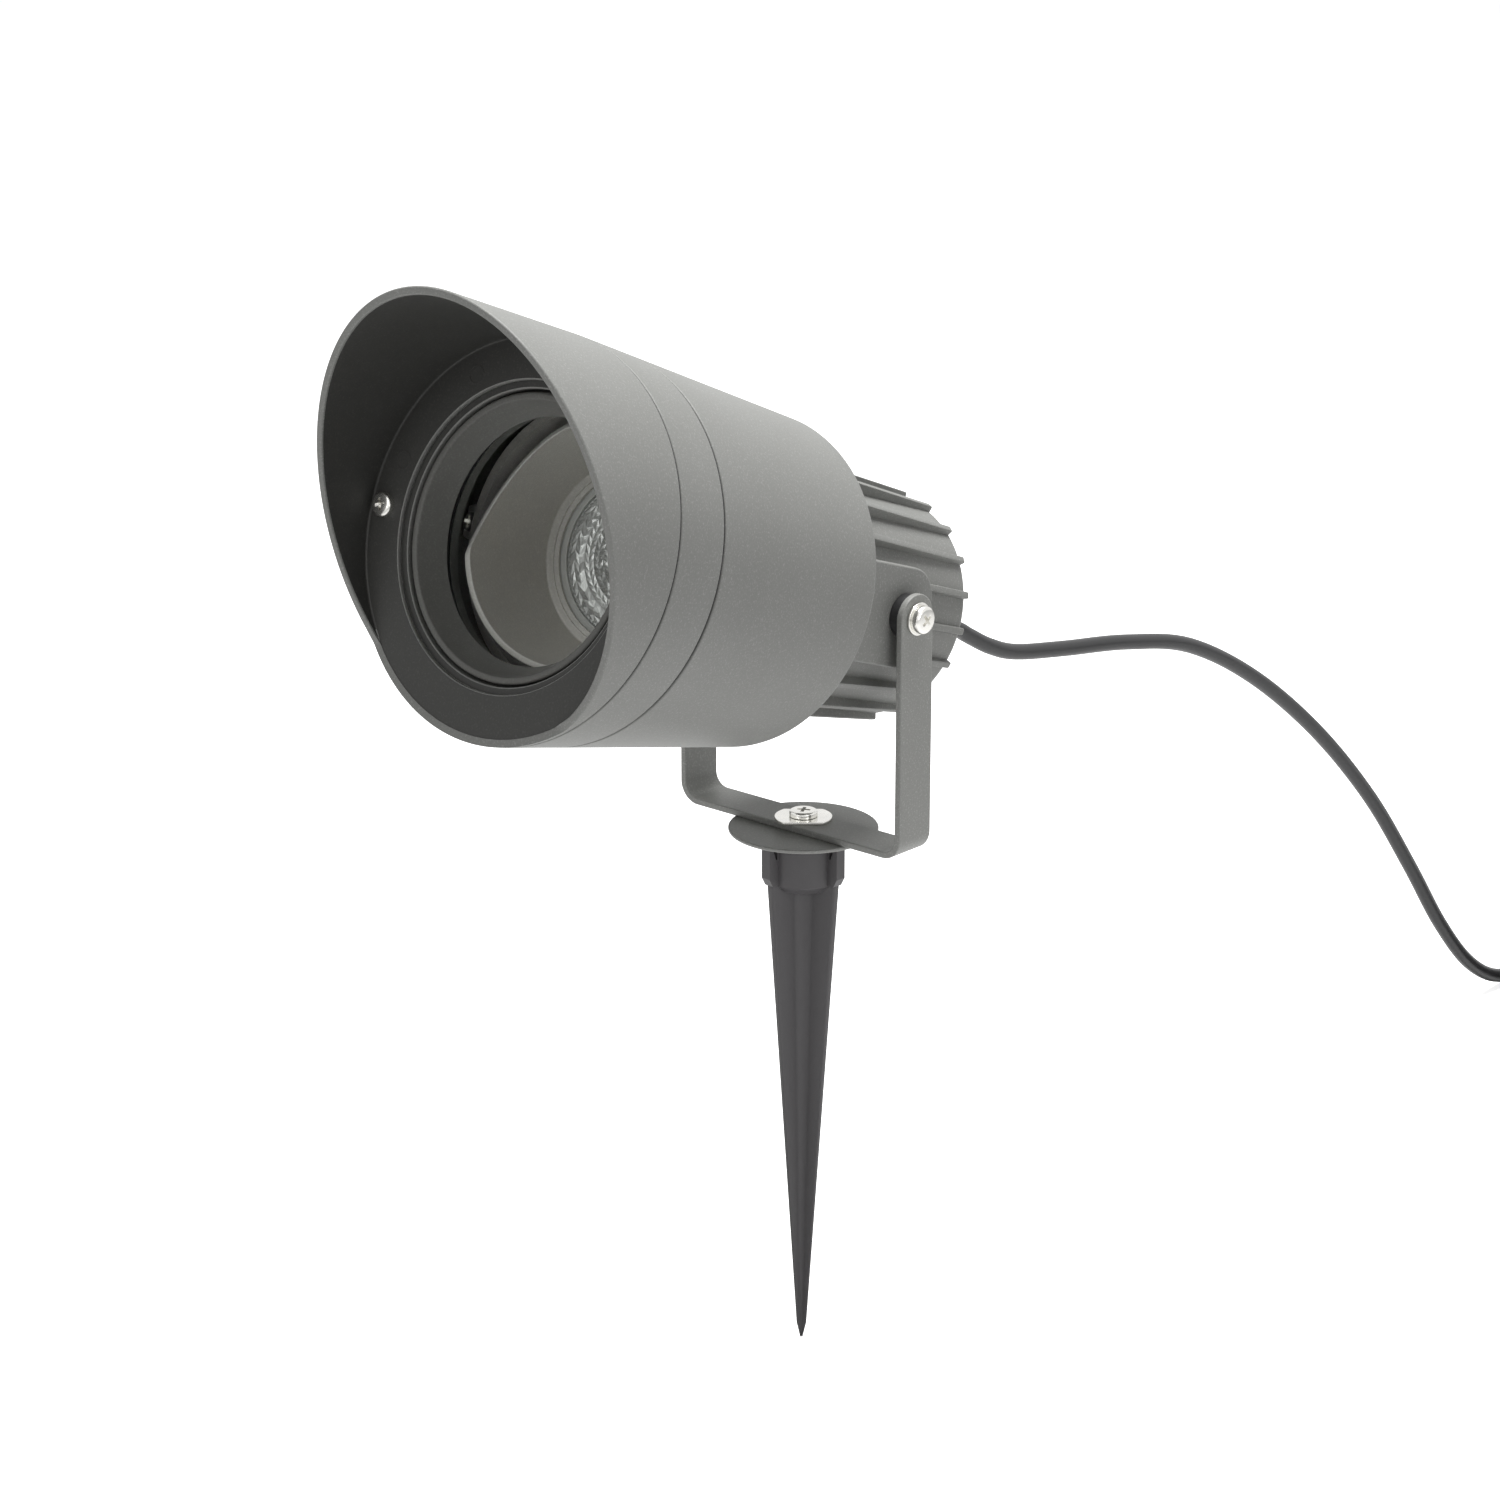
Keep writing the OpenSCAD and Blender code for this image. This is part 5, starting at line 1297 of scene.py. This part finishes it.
def coil_points(per_loop):
    """The coil's centreline: loops that spiral in, climb a layer and spiral out again."""
    cable = settings().cable
    inner = cable.coil_radius - cable.loops * cable.pitch
    loops = 2 * cable.loops + CLIMB
    floor = GROUND_Z + TIE_THICKNESS + TIE_GAP + cable.diameter / 2
    points = []
    count = round(loops * per_loop)
    for i in range(count + 1):
        turn = i * loops / count
        if turn < cable.loops:
            radius = cable.coil_radius - turn * cable.pitch
        elif turn < cable.loops + CLIMB:
            radius = inner
        else:
            radius = inner + (turn - cable.loops - CLIMB) * cable.pitch
        rise = min(1.0, max(0.0, (turn - cable.loops) / CLIMB)) * cable.pitch
        way = math.pi - math.tau * turn
        x, y = cable.coil_radius + radius * math.cos(way), COIL_Y + radius * math.sin(way)
        points.append(Vector((x, y, floor + rise)))
    return points


def plug_place():
    """Where the cable enters the plug."""
    cable = settings().cable
    return Vector((cable.coil_radius + PLUG_OFFSET, coil_points(24)[-1].y, GROUND_Z + PLUG_RADIUS))


def cord_path():
    """The whole cable's centreline, from the strain relief to the plug."""
    cable = settings().cable
    start = IN_GLAND @ Vector((0, 0, CORD_START_S))
    lead = IN_GLAND @ Vector((0, 0, CORD_START_S - LEAD))
    arrival = coil_points(24)[0]
    run = smooth_route([start, lead] + [Vector(p) for p in CORD_ROUTE] + [arrival], 8)
    coil = coil_points(48)
    out_y, floor = coil[-1].y, coil[0].z
    tail = plug_place()
    sag = Vector((cable.coil_radius + 20 * MM, out_y, floor + cable.pitch + 2.6 * MM))
    end = smooth_route([coil[-1], sag, tail - Vector((12 * MM, 0, 1 * MM)), tail], 8)
    return run[:-1] + coil[:-1] + end


def swept(name, path, radius, sides=16):
    """A round tube along a path, with flat caps; its frame is carried along without twist."""
    points = []
    across = Vector((1, 0, 0))
    for i, p in enumerate(path):
        ahead = (path[min(i + 1, len(path) - 1)] - path[max(i - 1, 0)]).normalized()
        across = (across - ahead * across.dot(ahead)).normalized()
        over = ahead.cross(across)
        for k in range(sides):
            way = math.tau * k / sides
            points.append(p + radius * (math.cos(way) * across + math.sin(way) * over))
    faces = ring_faces(len(path), sides)
    faces += [tuple(range(sides))[::-1], tuple(range(len(points) - sides, len(points)))]
    return mesh_piece(name, points, faces)


# Operators


class SPOT_OT_stage(bpy.types.Operator):
    """Camera, floor, backdrop and soft studio light"""

    bl_idname = "garden_spot.stage"
    bl_label = "Stage"

    def execute(self, context):
        place_camera()
        make_floor()
        make_lights()
        return {"FINISHED"}


class SPOT_OT_cable(bpy.types.Operator):
    """Cable from the strain relief to the plug, with its coil"""

    bl_idname = "garden_spot.cable"
    bl_label = "Cable"

    def execute(self, context):
        cable = settings().cable
        path = cord_path()
        cord = soften(swept("cable", path, cable.diameter / 2), 60, weighted=False)
        cord.data.materials.append(finish_of("rubber"))
        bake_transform(cord)
        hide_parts("cord_run", "cord_coil", "cord_end")
        return {"FINISHED"}


class SPOT_OT_cable_ends(bpy.types.Operator):
    """Cable gland, its nut, the tapered strain relief and the plug"""

    bl_idname = "garden_spot.cable_ends"
    bl_label = "Cable ends"

    def execute(self, context):
        dressed(make_relief(), "head", "rubber", "strain_relief")
        dressed(make_gland(), "head", "nylon", "cable_gland")
        dressed(make_gland_nut(), "head", "nylon", "gland_nut")
        dressed(make_plug(), "yoke", "rubber", "plug_body")
        return {"FINISHED"}


class SPOT_OT_head_shells(bpy.types.Operator):
    """Main tube, middle ring, glare shield, clamp ring and front glass"""

    bl_idname = "garden_spot.head_shells"
    bl_label = "Head shells"

    def execute(self, context):
        dressed(make_tube(), "head", "paint", "main_tube")
        dressed(make_middle_ring(), "head", "paint", "bezel_ring")
        # Painted shade: dark rings at the bottom of the seams.
        dressed(make_seam_shadows(), "head", "gasket", slot="black_rubber")
        dressed(make_shield(), "head", "paint", "glare_shield")
        # Painted shade: a dark skin inside the shield and round the glass.
        dressed(make_painted_shade(), "head", "painted_shade", slot="dark_paint")
        dressed(make_clamp_ring(), "head", "clamp", "clamp_ring")
        dressed(make_glass(), "head", "glass", "front_glass")
        dressed(make_housing(), "head", "paint", "rear_housing")
        return {"FINISHED"}


class SPOT_OT_lamp(bpy.types.Operator):
    """Tilting lamp cup with its lamp"""

    bl_idname = "garden_spot.lamp"
    bl_label = "Lamp"

    def execute(self, context):
        dressed(make_cup(), "gimbal", "cup", "lamp_cup")
        dressed(make_lamp_shell(), "gimbal", "lamp", "lamp_body")
        dressed(make_optic(), "gimbal", "optic", "lamp_lens")
        dressed(make_collimator(), "gimbal", "glow", slot="led_yellow")
        dressed(make_emitter(), "gimbal", "glow", "led_module")
        make_leads()
        return {"FINISHED"}


class SPOT_OT_mount(bpy.types.Operator):
    """Yoke, flange and ground spike"""

    bl_idname = "garden_spot.mount"
    bl_label = "Yoke and spike"

    def execute(self, context):
        # The yoke and the flange wear the lighter copy of the powder coat, painted light.
        dressed(make_yoke(), "yoke", "yoke", "yoke")
        dressed(make_flange(), "spike", "yoke", "flange_plate")
        dressed(make_spike(), "spike", "spike", "spike")
        return {"FINISHED"}


class SPOT_OT_screws(bpy.types.Operator):
    """Screws, washers and spacers"""

    bl_idname = "garden_spot.screws"
    bl_label = "Screws"

    def execute(self, context):
        head, mount = settings().head, settings().mount
        face = seams()[1] + head.flange
        pair = []
        for side in (-1, 1):
            seat = IN_HEAD @ spun(20, (side * head.screw_circle, 0, face))
            pair.append(make_screw("face_screw", "face", seat))
        dressed(joined(pair, "face_screw_pair"), "head", "steel", "face_screws")
        near, far = mount.half_width + 0.1 * MM, mount.half_width + 0.9 * MM
        for side, name in ((-1, "left"), (1, "right")):
            seat = at_side(side, 35) @ Matrix.Translation((0, 0, far))
            screw = make_screw("side_screw_" + name, "side", seat)
            dressed(screw, "head", "steel", "pivot_screw_" + name)
        hole = 2.2 * MM
        washers = both_rings("side_washers", hole, 4.8 * MM, near, far, 0.2 * MM)
        dressed(washers, "head", "steel", "screw_washers")
        leg = mount.half_width - mount.strip - 0.1 * MM
        spacers = both_rings("side_spacers", hole, 6.4 * MM, settings().rear.pad_reach, leg, 0.3 * MM)
        dressed(spacers, "head", "nylon", "pivot_spacers")
        dressed(make_pan_washer(), "yoke", "steel", "pan_washer")
        bolt = make_screw("pan_screw", "pan", spun(28, (0, 0, mount.strip + 1.1 * MM)))
        dressed(bolt, "spike", "steel", "pan_bolt")
        return {"FINISHED"}


class SPOT_OT_finishes(bpy.types.Operator):
    """Finishes of the pieces that keep their CAD shape"""

    bl_idname = "garden_spot.finishes"
    bl_label = "Finishes"

    def execute(self, context):
        for node, piece in frame["nodes"].items():
            for slot in piece.material_slots:
                slot.material = finish_of(SLOT_FINISH[SLOT_OF[node]])
        return {"FINISHED"}


class SPOT_PT_panel(bpy.types.Panel):
    """Lists the spotlight's pieces and settings"""

    bl_label = "Garden Spotlight"
    bl_idname = "SPOT_PT_panel"
    bl_space_type = "VIEW_3D"
    bl_region_type = "UI"
    bl_category = "Spotlight"

    def draw(self, context):
        for operator in PIECES:
            self.layout.operator(operator.bl_idname)
        whole = settings()
        for group in (whole.head, whole.rear, whole.lamp, whole.mount, whole.cable, whole.finish):
            box = self.layout.box()
            for name in group.__annotations__:
                box.prop(group, name)


PIECES = (
    SPOT_OT_stage, SPOT_OT_cable, SPOT_OT_cable_ends, SPOT_OT_head_shells, SPOT_OT_lamp, SPOT_OT_mount,
    SPOT_OT_screws, SPOT_OT_finishes,
)
GROUPS = (HeadSizes, RearSizes, LampSizes, MountSizes, CableSizes, Finishes, SpotSettings)


def register():
    for item in GROUPS + PIECES + (SPOT_PT_panel,):
        bpy.utils.register_class(item)
    bpy.types.Scene.garden_spot = PointerProperty(type=SpotSettings)


def unregister():
    del bpy.types.Scene.garden_spot
    for item in reversed(GROUPS + PIECES + (SPOT_PT_panel,)):
        bpy.utils.unregister_class(item)


def main():
    register()
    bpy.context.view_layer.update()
    bpy.ops.garden_spot.stage()
    bpy.ops.garden_spot.cable()
    bpy.ops.garden_spot.cable_ends()
    bpy.ops.garden_spot.head_shells()
    bpy.ops.garden_spot.lamp()
    bpy.ops.garden_spot.mount()
    bpy.ops.garden_spot.screws()
    bpy.ops.garden_spot.finishes()


if __name__ == "__main__":
    main()
